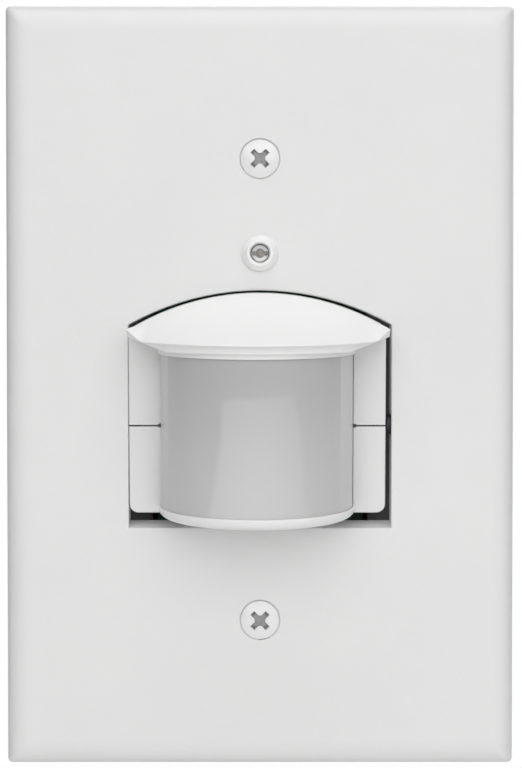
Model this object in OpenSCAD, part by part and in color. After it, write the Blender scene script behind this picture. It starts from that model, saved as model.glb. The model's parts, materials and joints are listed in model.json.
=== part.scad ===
// Motion sensor light switch: an oversize single-gang cover plate with a hooded sensor head that tilts in
// an arched opening, an indicator lamp, and a rear housing with the electronics that goes into the wall box.
// Frame: +Z up, the front towards -Y, the origin on the wall plane midway between the two wall screws.

/* [Cover plate] */
// Width of the plate
plate_w = 92.4; // [88:0.4:98]
// Height of the plate
plate_h = 138; // [132:0.5:146]
// Rise of the plate's middle above the middle of the two wall screws
plate_rise = 0.65; // [0:0.05:0.8]
// Depth of the plate, wall to front face
plate_d = 6.4; // [6.2:0.1:7.2]
// Thickness of the plate's moulded wall
plate_t = 2.4; // [2:0.1:2.6]
// Radius of the rounded front shoulder
shoulder_r = 3.3; // [2.6:0.1:3.8]
// Radius of the plate's outer corners
corner_r = 0.9; // [0.6:0.1:2]

/* [Wall screws] */
// Distance between the two wall screws
screw_pitch = 83.34; // [83:0.01:84]
// Thread diameter of a wall screw
screw_d = 3.5; // [3.2:0.1:3.8]
// Length of a wall screw under its head
screw_len = 25.4; // [20:0.2:32]
// Diameter of a wall screw's oval head
screw_head_d = 6.9; // [6.4:0.1:7.6]
// Height of a wall screw's oval head above the plate
screw_head_h = 0.9; // [0.7:0.1:1.2]

/* [Head opening] */
// Width of the opening
open_w = 47.5; // [46.5:0.25:48.5]
// Drop from the plate's middle to the opening's bottom edge
open_drop = 25.6; // [25.3:0.1:26.4]
// Rise from the plate's middle to the top of the opening's arch
open_rise = 17.35; // [16.9:0.05:17.9]
// Radius of the arch
open_arc_r = 48.6; // [46:0.2:54]
// Thickness of the collar behind the opening's edge
collar_t = 1.6; // [1.4:0.1:2]
// Rise of the opening's sloping sill from front to rear
sill_rise = 0.9; // [0.6:0.1:1.1]

/* [Indicator] */
// Height of the indicator above the plate's middle
led_z = 24; // [23.5:0.1:25.5]
// Diameter of the lamp
led_d = 3.2; // [3:0.1:3.4]
// Diameter of the bezel
bezel_d = 6.4; // [6.2:0.1:7.5]
// How far the bezel stands in front of the plate
bezel_h = 1.7; // [1.4:0.1:2.2]

/* [Sensor head] */
// Downward tilt of the head at rest, in degrees
head_tilt = 3.6; // [0:0.1:4.5]
// Height of the tilt axis and of the seam between the shells, from the plate's middle
pivot_z = -6.9; // [-8:0.1:-6]
// Depth of the tilt axis behind the plate's front face
pivot_in = 2.4; // [2.3:0.1:2.8]
// Gap between the head and each side of its opening
head_gap = 0.6; // [0.5:0.05:0.8]
// Sideways seat of the head, pushed left by its spring washer
head_shift = -0.3; // [-0.3:0.05:0]
// Gap between the head's top and the arch
arch_gap = 0.45; // [0.4:0.05:0.8]
// Drop from the plate's middle to the bottom edge of the ears
ear_drop = 22.75; // [22.3:0.05:23.1]
// Radius of the ears' bottom corners
ear_corner_r = 1.6; // [1:0.1:2]
// How far the ears stand in front of the plate
ear_proud = 0.4; // [0.2:0.05:0.8]
// Wall thickness of the head's shells
head_wall = 1.8; // [1.6:0.1:2]
// Reach of the hood in front of the ears
hood_reach = 19.4; // [18.6:0.1:21]
// How far each side tip of the hood stands out beyond the ear below it
hood_flare = 0.4; // [0.2:0.05:0.45]
// Downward slope of the hood's roof, in degrees
hood_slope = 23.2; // [21:0.1:24]
// Upward slope of the hood's underside towards the plate, in degrees
hood_under = 4; // [3:0.5:5]
// Height of the hood's front lip
hood_lip = 1.4; // [1.2:0.1:1.6]

/* [Lens] */
// Width of each ear beside the half-round lens
ear_w = 5.75; // [5.5:0.05:6.2]
// Thickness of the lens
lens_t = 0.9; // [0.7:0.1:1]
// Height of the lens's visible bottom edge, from the plate's middle
lens_low = -21.3; // [-21.6:0.1:-21]
// Height of the lens's visible top edge, from the plate's middle
lens_high = 6.3; // [5.7:0.1:6.4]
// Overhang of the rim and lip in front of the lens
rim_out = 0.8; // [0.6:0.1:1]
// Height of the bottom lip
lip_h = 2.05; // [1.9:0.05:2.3]

/* [Rear housing] */
// Width of the housing
box_w = 44; // [43.4:0.2:46]
// Height of the housing
box_h = 69; // [68.6:0.2:71]
// Depth of the housing's rear face behind the wall plane
box_rear = 34; // [33.5:0.5:38]
// Wall thickness of the housing
box_t = 2; // [1.8:0.1:2.2]
// Depth of the main board's front face behind the wall plane
board_y = 13; // [12.5:0.1:13.4]
// Thickness of the main board
board_t = 1.6; // [1.2:0.1:1.8]

/* [Hidden] */
$fn = 64;

// Working allowances: overrun of a cut, overlap of joined shapes, assembly clearance, running clearance
over = 1;
lap = 0.4;
fit = 0.1;
run_fit = 0.05;
far = 120;

// Plate levels along Y, front to back
front_y = -plate_d;
plate_in = front_y + plate_t;
collar_rear = -1;
wall_boss_rear = -1;
wall_boss_d = 9;
wall_hole_d = screw_d + 0.4;
neck_d = screw_d - 0.7;
thread_y = -0.6;
sink_half = 41;
sink_relief = 0.2;
sink_in = 0.35;
recess_len = 3.9;
recess_w = 0.95;
recess_depth = 1.3;
rib_t = 1.4;
rib_rear = -1.6;

// Indicator
bezel_bore = led_d + 0.5;
bezel_barrel = bezel_bore + 1.3;
bezel_lip = 0.6;
bezel_taper = 0.8;
led_front = front_y - bezel_h + 0.3;
led_len = 4.8;
led_rear = led_front + led_len;
bezel_rear = led_rear - 2 * fit;
led_flange_d = led_d + 0.35;
led_flange = 0.8;
lead_d = 0.5;
lead_x = 0.85;
lead_tail = 1.2;
spacer_d = 4.4;

// Tilt axis and the head's levels, before the tilt
pivot_y = front_y + pivot_in;
pin_d = 2;
pivot_boss_d = 4.4;
pivot_boss_out = 3;
washer_d = 3.8;
washer_bore = pin_d + 0.2;
left_gap = head_gap + head_shift;
right_gap = head_gap - head_shift;
half_w = open_w / 2 - head_gap;
ear_y = front_y - ear_proud;
ear_in = ear_y + head_wall;
case_rear = pivot_y + 2.4;
arc_z = open_rise - open_arc_r;
arch_tight = 2.6;
head_arc_r = open_arc_r - arch_gap - arch_tight;
head_top = open_rise - arch_gap;
head_arc_z = head_top - head_arc_r;
seam_h = 0.3;
seam_in = 0.7;
seam_dot = 0.7;

// Hood: an inclined cylindrical roof cut to a round plan, whose sides draw in behind the tips
roof_r = head_arc_r / cos(hood_slope);
tip_x = half_w + hood_flare;
tip_out = 2.6;
root_x = half_w - 0.15;
root_out = 1.2;
hood_back = (tip_x * tip_x - hood_reach * hood_reach + tip_out * tip_out) / (2 * (hood_reach - tip_out));
hood_r = hood_reach + hood_back;
hood_y = ear_y + hood_back;
hood_front_z = head_top - hood_reach * tan(hood_slope);
hood_low_z = hood_front_z - hood_lip;

// Lens seat
lens_r = half_w - ear_w;
groove = 1;
lens_seat = 0.1;
rim_r = lens_r + rim_out;
rim_in = lens_r - lens_t - 0.7;
lip_round = 1.1;
leg_low = -ear_drop + head_wall + fit;
leg_high = lens_high - fit;
flange_y = ear_in + fit;
flange_t = 0.8;
flange_out = lens_r + 2.6;
boss_d = 3.6;
boss_x = half_w - 3.15;
boss_high = 7.7;
boss_low = -ear_drop + 3.4;
flange_low = boss_low + boss_d / 2 + 0.5;
flange_high = boss_high - boss_d / 2 - 1;

// Back of the head and what it carries
back_t = 1.4;
back_y = case_rear + back_t;
back_inset = 0.2;
chamber_x = lens_r - 0.8;
chamber_low = -19;
chamber_high = 10;
chamber_rear = back_y + 1.8;
chamber_t = 1.4;
sensor_t = 1.2;
sensor_y = case_rear - 1.6;
sensor_rear = sensor_y + sensor_t;
sensor_x = chamber_x - chamber_t - 0.3;
sensor_low = chamber_low + chamber_t + 0.3;
sensor_high = chamber_high - chamber_t - 0.3;
post_d = 3.6;
post_x = sensor_x - 2.6;
post_high = sensor_high - 2.6;
post_low = sensor_low + 2.6;
tiny_d = 1.7;
tiny_head_d = 3.2;
tiny_head_h = 1.1;
tiny_bite = 3.2;
pir_z = (lens_low + lens_high) / 2;
pir_d = 8.2;
pir_h = 4.2;
pir_flange_d = 9.2;
pir_flange = 0.8;
pir_skin = 0.5;
pir_window = [4.2, 3.2];
pir_lead_r = 2.5;
cell_x = 9.5;
cell_z = 2;
cell_d = 4.2;
cell_h = 2;
amp_size = [8.6, 1.6, 3.9];
amp_x = -7.5;
amp_z = -1.5;
plug_size = [12, 4.4, 5];
plug_z = -13.5;
plug_wall = 0.9;
plug_edge = 1.5;
pitch = 2.54;
contact = 0.64;

// Rear housing and its layout
box_y = 4;
box_z = -1;
box_r = 3;
box_in_r = 1.4;
box_top = box_z + box_h / 2;
box_low = box_z - box_h / 2;
step_z = -20.5;
step_in = 8;
step_y = box_rear - step_in;
shield_t = 1.4;
shield_out = 0.8;
pillar_side = 5;
pillar_end = 4;
pillar_x = box_w / 2 - pillar_side;
pillar_top = box_top - pillar_end;
pillar_low = box_low + pillar_end;
pillar_d = 6.8;
pillar_head_d = 5;
pillar_head_h = 2;
pillar_screw_d = 2.6;
pillar_floor = 5;
pillar_skin = 3.8;
pillar_seat = box_y + pillar_floor;
pillar_bite = front_y + pillar_skin;
board_rear = board_y + board_t;
board_x = box_w / 2 - box_t - 0.4;
board_top = box_top - box_t - 0.5;
board_low = box_low + box_t + 0.5;
neck_x = pillar_x - pillar_d / 2 - 0.4;
wide_top = pillar_top - pillar_d / 2 - 0.6;
wide_low = pillar_low + pillar_d / 2 + 0.6;
stand_d = 4.6;
stand_edge = 2.8;
stand_x = board_x - stand_edge;
stand_zs = [17.5, -17.5];
stand_screw_d = 1.9;
stand_head_d = 3.6;
stand_head_h = 1.3;
stand_bite = 6;

// Components on the main board, each as [left, low, right, high] and height
relay_at = [-18.6, -4, 0.4, 11.5];
relay_h = 15.2;
film_at = [4, -6, 11.6, 12];
film_h = 14;
can_d = 8;
can_h = 12;
can_x = board_x - can_d / 2 - lap;
can_z = -9;
disc_d = 10;
disc_t = 4;
disc_edge = 2.2;
disc_lift = 1.2;
disc_x = board_x - disc_t / 2 - disc_edge;
disc_z = 5.2;
bridge_at = [-13.2, -16.2, -4.8, -9.8];
bridge_h = 3.4;
chip_at = [-9.6, 2, 9.6, 8.4];
chip_h = 3.4;
chip_pins = 7;
leg_t = 0.5;
head_plug_z = board_low + plug_size[2] / 2 + plug_edge;

// Terminals
ways = 3;
way_pitch = 5.08;
term_x = ways * way_pitch / 2 + 0.2;
term_low = box_low + box_t + 0.2;
term_h = 9;
term_high = term_low + term_h;
term_rear = step_y - 0.2;
term_screw_d = 3.6;
term_screw_h = 3.4;
term_screw_up = 5;
term_screw_z = term_low + term_screw_up;
entry_w = 3.4;
entry_lift = 2.6;
entry_y = board_rear + entry_lift;
entry_h = 3.8;
entry_depth = 6.4;

// Trimmers
trim_x = 9;
trim_z = 19.5;
trim_w = 9.4;
trim_h = 4.8;
knob_d = 4;
knob_root = 3;
dial_d = 7.6;
dial_in = 0.8;
slot_w = 0.9;
slot_in = 1.2;

// Rounded rectangle in the front view, centred
module round_rect(w, h, r) {
  square([w - 2 * r, h], center = true);
  square([w, h - 2 * r], center = true);
  for (sx = [-1, 1], sz = [-1, 1])
    translate([sx * (w / 2 - r), sz * (h / 2 - r)])
      circle(r);
}

// Extrudes a front-view outline, x across and z up, from depth y0 back to depth y1
module slab(y0, y1) {
  translate([0, y1, 0])
    rotate([90, 0, 0])
      linear_extrude(y1 - y0)
        children();
}

// Box between two corners
module block(lo, hi) {
  translate(lo)
    cube(hi - lo);
}

// Box on a front-view footprint [left, low, right, high], from depth y0 back to depth y1
module pad(at, y0, y1) {
  block([at[0], y0, at[1]], [at[2], y1, at[3]]);
}

// Cylinder along the depth
module rod_y(x, z, d, y0, y1) {
  translate([x, y0, z])
    rotate([-90, 0, 0])
      cylinder(d = d, h = y1 - y0);
}

// Cylinder across the width
module rod_x(y, z, d, x0, x1) {
  translate([x0, y, z])
    rotate([0, 90, 0])
      cylinder(d = d, h = x1 - x0);
}

// Pan head that stands forward from its seat at y = 0
module pan_head(d, h, round_r) {
  rotate([90, 0, 0])
    rotate_extrude()
      union() {
        square([d / 2, h - round_r]);
        square([d / 2 - round_r, h]);
        translate([d / 2 - round_r, h - round_r])
          circle(round_r);
      }
}

// Oval head with its rim at y = 0: a low dome in front and a countersunk cone that narrows to the neck behind
module oval_head(d, h, neck) {
  dome_r = (d * d / 4 + h * h) / (2 * h);
  cone = (d - neck) / 2 / tan(sink_half);
  rotate([90, 0, 0])
    rotate_extrude()
      union() {
        intersection() {
          translate([0, h - dome_r])
            circle(dome_r);
          square([d / 2, h]);
        }
        polygon([[0, fit], [d / 2 - 3 * fit, fit], [d / 2, 0], [neck / 2, -cone], [0, -cone]]);
      }
}

// Countersunk seat for an oval head, with a narrow relief round its rim, cut from the face at y = 0
module oval_seat(d, hole) {
  rim = d / 2 + run_fit;
  step = rim - sink_in * tan(sink_half);
  deep = (rim - hole / 2) / tan(sink_half);
  rotate([90, 0, 0])
    rotate_extrude()
      polygon([[0, over], [d / 2 + sink_relief, over], [d / 2 + sink_relief, -sink_in], [step, -sink_in],
        [hole / 2, -deep], [0, -deep]]);
}

// Cross recess with its arms on the diagonals and a round middle, cut from the face at y = 0
module cross_recess(len, w, depth) {
  for (a = [45, 135])
    rotate([0, a, 0])
      block([-len / 2, -over, -w / 2], [len / 2, depth, w / 2]);
  rod_y(0, 0, 2 * w, -over, depth);
}

// Small self-tapping screw with its seat at y = 0, driven towards -Y
module tapping_screw(head_d, head_h, d, bite) {
  difference() {
    union() {
      rotate([0, 0, 180])
        pan_head(head_d, head_h, head_h / 3);
      rod_y(0, 0, d, -bite, lap);
    }
    translate([0, head_h, 0])
      rotate([0, 0, 180])
        cross_recess(head_d * 0.55, head_d * 0.16, head_h * 0.6);
  }
}

// Section of the plate across its depth, with rounded shoulders at the front
module shoulder_outline(w) {
  translate([-w / 2, 0])
    square([w, plate_d - shoulder_r]);
  translate([shoulder_r - w / 2, 0])
    square([w - 2 * shoulder_r, plate_d]);
  for (s = [-1, 1])
    translate([s * (w / 2 - shoulder_r), plate_d - shoulder_r])
      circle(shoulder_r);
}

// Solid plate: shoulders run along all four edges and meet in mitres at the corners
module plate_block() {
  intersection() {
    mirror([0, 1, 0])
      linear_extrude(plate_h, center = true)
        shoulder_outline(plate_w);
    rotate([0, 90, 0])
      mirror([0, 1, 0])
        linear_extrude(plate_w, center = true)
          shoulder_outline(plate_h);
    slab(front_y, 0)
      round_rect(plate_w, plate_h, corner_r);
  }
}

// Outline of the head's opening, grown by e
module opening_outline(e) {
  intersection() {
    translate([0, arc_z])
      circle(open_arc_r + e);
    translate([-open_w / 2 - e, -open_drop - e])
      square([open_w + 2 * e, open_drop + open_rise + 2 * e]);
  }
}

// Places of the four housing screws in the front view
module at_pillars() {
  for (s = [-1, 1], z = [pillar_top, pillar_low])
    translate([s * pillar_x, 0, z])
      children();
}

// Places of the two wall screws in the front view
module at_wall_screws() {
  for (s = [-1, 1])
    translate([0, 0, s * screw_pitch / 2 - plate_rise])
      children();
}

// Stiffening ribs behind the plate: from the tilt bosses to the sides, and from the pillars to the ends
module plate_ribs() {
  side = plate_w / 2 - plate_t + lap;
  end = plate_h / 2 - plate_t + lap;
  for (s = [-1, 1]) {
    x0 = open_w / 2 + collar_t - lap;
    block([s > 0 ? x0 : -side, plate_in - lap, pivot_z - rib_t / 2],
      [s > 0 ? side : -x0, rib_rear, pivot_z + rib_t / 2]);
    block([s * pillar_x - rib_t / 2, plate_in - lap, pillar_top],
      [s * pillar_x + rib_t / 2, rib_rear, end]);
    block([s * pillar_x - rib_t / 2, plate_in - lap, -end],
      [s * pillar_x + rib_t / 2, rib_rear, pillar_low]);
  }
}

// Sill along the opening's bottom edge, sloping up towards the rear
module sill() {
  half = open_w / 2 + lap;
  low = -open_drop - lap;
  translate([-half, 0, 0])
    rotate([90, 0, 90])
      linear_extrude(2 * half)
        polygon([[front_y, low], [front_y, -open_drop], [collar_rear, sill_rise - open_drop], [collar_rear, low]]);
}

// The plate with its collar, bosses and ribs, before the sill
module plate_shell() {
  difference() {
    union() {
      difference() {
        plate_block();
        slab(plate_in, over)
          round_rect(plate_w - 2 * plate_t, plate_h - 2 * plate_t, corner_r);
      }
      slab(plate_in - lap, collar_rear)
        opening_outline(collar_t);
      for (s = [-1, 1])
        rod_x(pivot_y, pivot_z, pivot_boss_d, s > 0 ? open_w / 2 + lap : -open_w / 2 - pivot_boss_out,
          s > 0 ? open_w / 2 + pivot_boss_out : -open_w / 2 - lap);
      at_wall_screws()
        rod_y(0, 0, wall_boss_d, plate_in - lap, wall_boss_rear);
      at_pillars()
        rod_y(0, 0, pillar_d, plate_in - lap, box_y);
      plate_ribs();
    }
    slab(front_y - over, over)
      opening_outline(0);
    at_wall_screws() {
      rod_y(0, 0, wall_hole_d, front_y - over, over);
      translate([0, front_y, 0])
        oval_seat(screw_head_d, wall_hole_d);
    }
    at_pillars()
      rod_y(0, 0, pillar_screw_d + 2 * run_fit, pillar_bite - fit, box_y + over);
    rod_y(0, led_z, bezel_barrel + 2 * run_fit, front_y - over, over);
    rod_x(pivot_y, pivot_z, pin_d + run_fit, -open_w / 2 - pivot_boss_out - over,
      open_w / 2 + pivot_boss_out + over);
  }
}

module cover_plate() {
  color("white") {
    plate_shell();
    sill();
  }
}

module mounting_screws() {
  color("white")
    at_wall_screws() {
      difference() {
        translate([0, front_y, 0])
          oval_head(screw_head_d, screw_head_h, neck_d);
        translate([0, front_y - screw_head_h, 0])
          cross_recess(recess_len, recess_w, recess_depth);
      }
      rod_y(0, 0, neck_d, front_y - lap, thread_y + lap);
      rod_y(0, 0, screw_d, thread_y, front_y + screw_len);
    }
}

module led_bezel() {
  color("white")
    translate([0, front_y, led_z])
      rotate([90, 0, 0])
        rotate_extrude()
          polygon([
            [bezel_bore / 2, front_y - bezel_rear],
            [bezel_barrel / 2, front_y - bezel_rear],
            [bezel_barrel / 2, 0],
            [bezel_d / 2, 0],
            [bezel_d / 2, bezel_lip],
            [bezel_d / 2 - bezel_taper, bezel_h],
            [bezel_bore / 2, bezel_h]
          ]);
}

module indicator_led() {
  color("lightgray", 0.7)
    translate([0, 0, led_z]) {
      translate([0, led_front + led_d / 2, 0])
        sphere(d = led_d);
      rod_y(0, 0, led_d, led_front + led_d / 2, led_rear);
      rod_y(0, 0, led_flange_d, led_rear - led_flange, led_rear);
    }
}

module led_leads() {
  color("silver")
    for (s = [-1, 1])
      rod_y(s * lead_x, led_z, lead_d, led_rear, board_rear + lead_tail);
}

module led_spacer() {
  color("dimgray")
    difference() {
      rod_y(0, led_z, spacer_d, led_rear, board_y);
      for (s = [-1, 1])
        rod_y(s * lead_x, led_z, lead_d + 2 * run_fit, led_rear - over, board_y + over);
    }
}

// Tilt pins, pressed through the plate's side bosses into the split bore of the head
module pivot_pins() {
  color("silver") {
    rod_x(pivot_y, pivot_z, pin_d, -open_w / 2 - pivot_boss_out, head_shift - half_w + head_wall);
    rod_x(pivot_y, pivot_z, pin_d, head_shift + half_w - head_wall, open_w / 2 + pivot_boss_out);
  }
}

// Washer on a tilt pin, from x0 to x1
module washer(x0, x1) {
  difference() {
    rod_x(pivot_y, pivot_z, washer_d, x0, x1);
    rod_x(pivot_y, pivot_z, washer_bore, x0 - over, x1 + over);
  }
}

module friction_washer() {
  color("black")
    washer(-open_w / 2, -open_w / 2 + left_gap - fit);
}

module spring_washer() {
  color("dimgray")
    washer(open_w / 2 - right_gap + fit, open_w / 2);
}

// Outline of the housing in the front view, shrunk by e, down to the height low
module box_outline(e, low, r) {
  w = box_w - 2 * e;
  h = box_top - e - low;
  translate([0, low + h / 2])
    round_rect(w, h, r);
}

// Tub for the wall box: pillars and stands inside, a stepped rear, and a thin front shield around the opening
module rear_housing() {
  color("dimgray")
    difference() {
      union() {
        difference() {
          union() {
            slab(box_y, step_y)
              box_outline(0, box_low, box_r);
            slab(box_y, box_rear)
              box_outline(0, step_z, box_r);
            slab(box_y, box_y + shield_t)
              opening_outline(shield_out);
          }
          slab(box_y - over, step_y - box_t)
            box_outline(box_t, box_low + box_t, box_in_r);
          slab(box_y - over, box_rear - box_t)
            box_outline(box_t, step_z + box_t, box_in_r);
        }
        for (s = [-1, 1]) {
          rod_y(s * pillar_x, pillar_top, pillar_d, box_y, box_rear - lap);
          rod_y(s * pillar_x, pillar_low, pillar_d, box_y, step_y - lap);
          for (z = stand_zs)
            rod_y(s * stand_x, z, stand_d, board_rear, box_rear - box_t + lap);
        }
      }
      at_pillars() {
        rod_y(0, 0, pillar_screw_d + 4 * fit, box_y - over, box_rear + over);
        rod_y(0, 0, pillar_head_d + 4 * fit, pillar_seat, box_rear + over);
      }
      for (s = [-1, 1]) {
        for (z = stand_zs)
          rod_y(s * stand_x, z, stand_screw_d + 2 * run_fit, board_rear - over, board_rear + stand_bite);
        rod_y(s * trim_x, trim_z, knob_d + 2 * run_fit, box_rear - box_t - over, box_rear + over);
        rod_y(s * trim_x, trim_z, dial_d, box_rear - dial_in, box_rear + over);
      }
      pad([-term_x - fit, term_low - fit, term_x + fit, term_high + fit], step_y - box_t - over, step_y + over);
      for (i = [0 : ways - 1])
        wire_entry(i, box_low - over, term_low + over);
    }
}

// Square way for one mains wire, from height z0 up to z1
module wire_entry(i, z0, z1) {
  x = (i - (ways - 1) / 2) * way_pitch;
  block([x - entry_w / 2, entry_y, z0], [x + entry_w / 2, entry_y + entry_h, z1]);
}

module housing_screws() {
  color("silver")
    at_pillars()
      translate([0, pillar_seat, 0])
        tapping_screw(pillar_head_d, pillar_head_h, pillar_screw_d, pillar_seat - pillar_bite);
}

module main_board() {
  color("darkgreen")
    difference() {
      union() {
        pad([-neck_x, board_low, neck_x, board_top], board_y, board_rear);
        pad([-board_x, wide_low, board_x, wide_top], board_y, board_rear);
      }
      for (s = [-1, 1]) {
        rod_y(s * lead_x, led_z, lead_d + 2 * fit, board_y - over, board_rear + over);
        for (z = stand_zs)
          rod_y(s * stand_x, z, stand_screw_d + 2 * fit, board_y - over, board_rear + over);
      }
    }
}

module board_screws() {
  color("silver")
    for (s = [-1, 1], z = stand_zs)
      translate([s * stand_x, board_y, z])
        rotate([0, 0, 180])
          tapping_screw(stand_head_d, stand_head_h, stand_screw_d, board_t + stand_bite - over);
}

module relay() {
  color("royalblue")
    pad(relay_at, board_rear, board_rear + relay_h);
}

module film_capacitor() {
  color("goldenrod")
    pad(film_at, board_rear, board_rear + film_h);
}

module electrolytic_capacitor() {
  color("midnightblue")
    rod_y(can_x, can_z, can_d, board_rear, board_rear + can_h);
}

// Disc on edge, standing on two leads
module varistor() {
  disc_y = board_rear + disc_lift + disc_d / 2;
  color("steelblue") {
    rod_x(disc_y, disc_z, disc_d, disc_x - disc_t / 2, disc_x + disc_t / 2);
    for (s = [-1, 1])
      rod_y(disc_x, disc_z + s * disc_d / 4, 2 * lead_d, board_rear, disc_y);
  }
}

module rectifier() {
  color("black")
    pad(bridge_at, board_rear, board_rear + bridge_h);
}

// Dual-in-line package on the front of the main board, with its row of legs on each side
module timer_chip() {
  color("black") {
    pad(chip_at, board_y - chip_h, board_y - leg_t);
    for (i = [0 : chip_pins - 1], z = [chip_at[1] - leg_t, chip_at[3] - leg_t]) {
      x = (i - (chip_pins - 1) / 2) * pitch;
      pad([x - leg_t, z, x + leg_t, z + 2 * leg_t], board_y - chip_h / 2, board_y);
    }
  }
}

// Four-way shrouded header standing forward from the plane y = 0
module header() {
  w = plug_size[0] / 2;
  h = plug_size[2] / 2;
  difference() {
    pad([-w, -h, w, h], -plug_size[1], 0);
    pad([plug_wall - w, plug_wall - h, w - plug_wall, h - plug_wall], -plug_size[1] - over, -plug_wall);
  }
  for (i = [-1.5 : 1.5])
    pad([i * pitch - contact / 2, -contact / 2, i * pitch + contact / 2, contact / 2],
      plug_wall - plug_size[1], 0);
}

module board_header() {
  color("ivory")
    translate([0, board_y, head_plug_z])
      header();
}

module terminal_block() {
  color("dimgray")
    difference() {
      pad([-term_x, term_low, term_x, term_high], board_rear, term_rear);
      for (i = [0 : ways - 1]) {
        wire_entry(i, term_low - over, term_low + entry_depth);
        rod_y((i - (ways - 1) / 2) * way_pitch, term_screw_z, term_screw_d + 2 * fit,
          entry_y + entry_h - lap, term_rear + over);
      }
    }
}

module terminal_screws() {
  color("silver")
    for (i = [0 : ways - 1])
      translate([(i - (ways - 1) / 2) * way_pitch, term_rear - fit, term_screw_z])
        difference() {
          rod_y(0, 0, term_screw_d, -term_screw_h, 0);
          block([-term_screw_d, -slot_in, -slot_w / 2], [term_screw_d, over, slot_w / 2]);
        }
}

module trimmer_bodies() {
  color("mediumblue")
    for (s = [-1, 1])
      difference() {
        pad([s * trim_x - trim_w / 2, trim_z - trim_w / 2, s * trim_x + trim_w / 2, trim_z + trim_w / 2],
          board_rear, board_rear + trim_h);
        rod_y(s * trim_x, trim_z, knob_d + 2 * run_fit, board_rear + trim_h - knob_root - fit,
          board_rear + trim_h + over);
      }
}

// Trimmer shaft with a screwdriver slot, flush in its dial recess
module trimmer_knob(x) {
  difference() {
    rod_y(x, trim_z, knob_d, board_rear + trim_h - knob_root, box_rear - fit);
    block([x - knob_d, box_rear - fit - slot_in, trim_z - slot_w / 2],
      [x + knob_d, box_rear + over, trim_z + slot_w / 2]);
  }
}

module time_knob() {
  color("white")
    trimmer_knob(trim_x);
}

module light_knob() {
  color("white")
    trimmer_knob(-trim_x);
}

// Turns the head about the tilt axis into its rest position
module in_head() {
  translate([head_shift, pivot_y, pivot_z])
    rotate([head_tilt, 0, 0])
      translate([0, -pivot_y, -pivot_z])
        children();
}

// Outline of the head in the front view, shrunk by e: arched top, rounded bottom corners
module head_outline(e) {
  r = max(ear_corner_r - e, 0.3);
  w = half_w - e;
  low = e - ear_drop;
  intersection() {
    translate([0, head_arc_z])
      circle(head_arc_r - e);
    union() {
      translate([-w, low + r])
        square([2 * w, head_top - low]);
      translate([r - w, low])
        square([2 * (w - r), 2 * r]);
      for (s = [-1, 1])
        translate([s * (w - r), low + r])
          circle(r);
    }
  }
}

// Both shells' walls in one: ears at the front, sides, arched top and floor, open at the rear
module head_case() {
  difference() {
    slab(ear_y, case_rear)
      head_outline(0);
    slab(ear_in, case_rear + over)
      head_outline(head_wall);
    pad([-lens_r - lens_seat, lens_low, lens_r + lens_seat, lens_high], ear_y - over, ear_in + over);
  }
}

// Bosses for the screws that hold the back of the head, at height z
module case_bosses(z) {
  for (s = [-1, 1])
    rod_y(s * boss_x, z, boss_d, ear_in - lap, case_rear);
}

// What both shells lose: the split tilt bore, the seam groove across each ear and its end dot
module seam_cuts() {
  rod_x(pivot_y, pivot_z, pin_d + 2 * run_fit, -half_w - over, half_w + over);
  pad([-half_w - over, pivot_z - seam_h / 2, half_w + over, pivot_z + seam_h / 2], ear_y - over, ear_y + seam_in);
  for (s = [-1, 1])
    rod_y(s * (lens_r + lens_seat + seam_dot / 3), pivot_z, seam_dot, ear_y - over, ear_y + seam_in);
}

// Plan of the hood, shrunk by e: x across, y towards the wall
module hood_plan(e) {
  root = root_x - e;
  tip = tip_x - e;
  intersection() {
    translate([0, hood_y])
      circle(hood_r - e);
    polygon([[-root, far], [-root, ear_y - root_out], [-tip, ear_y - tip_out], [-tip, -far],
      [tip, -far], [tip, ear_y - tip_out], [root, ear_y - root_out], [root, far]]);
  }
}

// Volume under the hood's sloping roof and inside its plan, shrunk by e
module hood_volume(e) {
  intersection() {
    translate([0, ear_y, head_top])
      rotate([hood_slope, 0, 0])
        translate([0, 0, -roof_r])
          rotate([90, 0, 0])
            cylinder(r = roof_r - e, h = far, center = true);
    linear_extrude(far, center = true)
      hood_plan(e);
    translate([0, ear_y - hood_reach, hood_low_z + e])
      rotate([hood_under, 0, 0])
        block([-far / 2, -over, 0], [far / 2, far, far / 2]);
    block([-far / 2, -far, -far], [far / 2, e > 0 ? ear_in + over : ear_y + lap, far]);
  }
}

// Half ring in front of the ears, about the lens's axis
module half_ring(r_in, r_out, z0, z1) {
  difference() {
    translate([0, ear_y, z0])
      cylinder(r = r_out, h = z1 - z0);
    translate([0, ear_y, z0 - over])
      cylinder(r = r_in, h = z1 - z0 + 2 * over);
    block([-far / 2, ear_y, z0 - over], [far / 2, far, z1 + over]);
  }
}

// Seat for the lens's edge in a rim, with clearance on both faces
module lens_groove(z0, z1) {
  half_ring(lens_r - lens_t - lens_seat, lens_r + lens_seat, z0, z1);
}

module upper_shell() {
  color("white")
    in_head()
      difference() {
        union() {
          intersection() {
            head_case();
            block([-far / 2, -far, pivot_z], [far / 2, far, far]);
          }
          hood_volume(0);
          half_ring(rim_in, rim_r, lens_high, hood_low_z + hood_lip);
          case_bosses(boss_high);
        }
        hood_volume(head_wall);
        lens_groove(lens_high - over, lens_high + groove);
        seam_cuts();
        for (s = [-1, 1])
          rod_y(s * boss_x, boss_high, tiny_d + 2 * run_fit, ear_y + over, case_rear + over);
      }
}

// Rounded half disc under the lens
module lip() {
  intersection() {
    translate([0, ear_y, lens_low - lip_h])
      rotate_extrude()
        union() {
          square([rim_r - lip_round, lip_h]);
          translate([0, lip_round])
            square([rim_r, lip_h - lip_round]);
          translate([rim_r - lip_round, lip_round])
            circle(lip_round);
        }
    block([-far / 2, -far, -far], [far / 2, ear_y + lap, lens_low]);
  }
}

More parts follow.
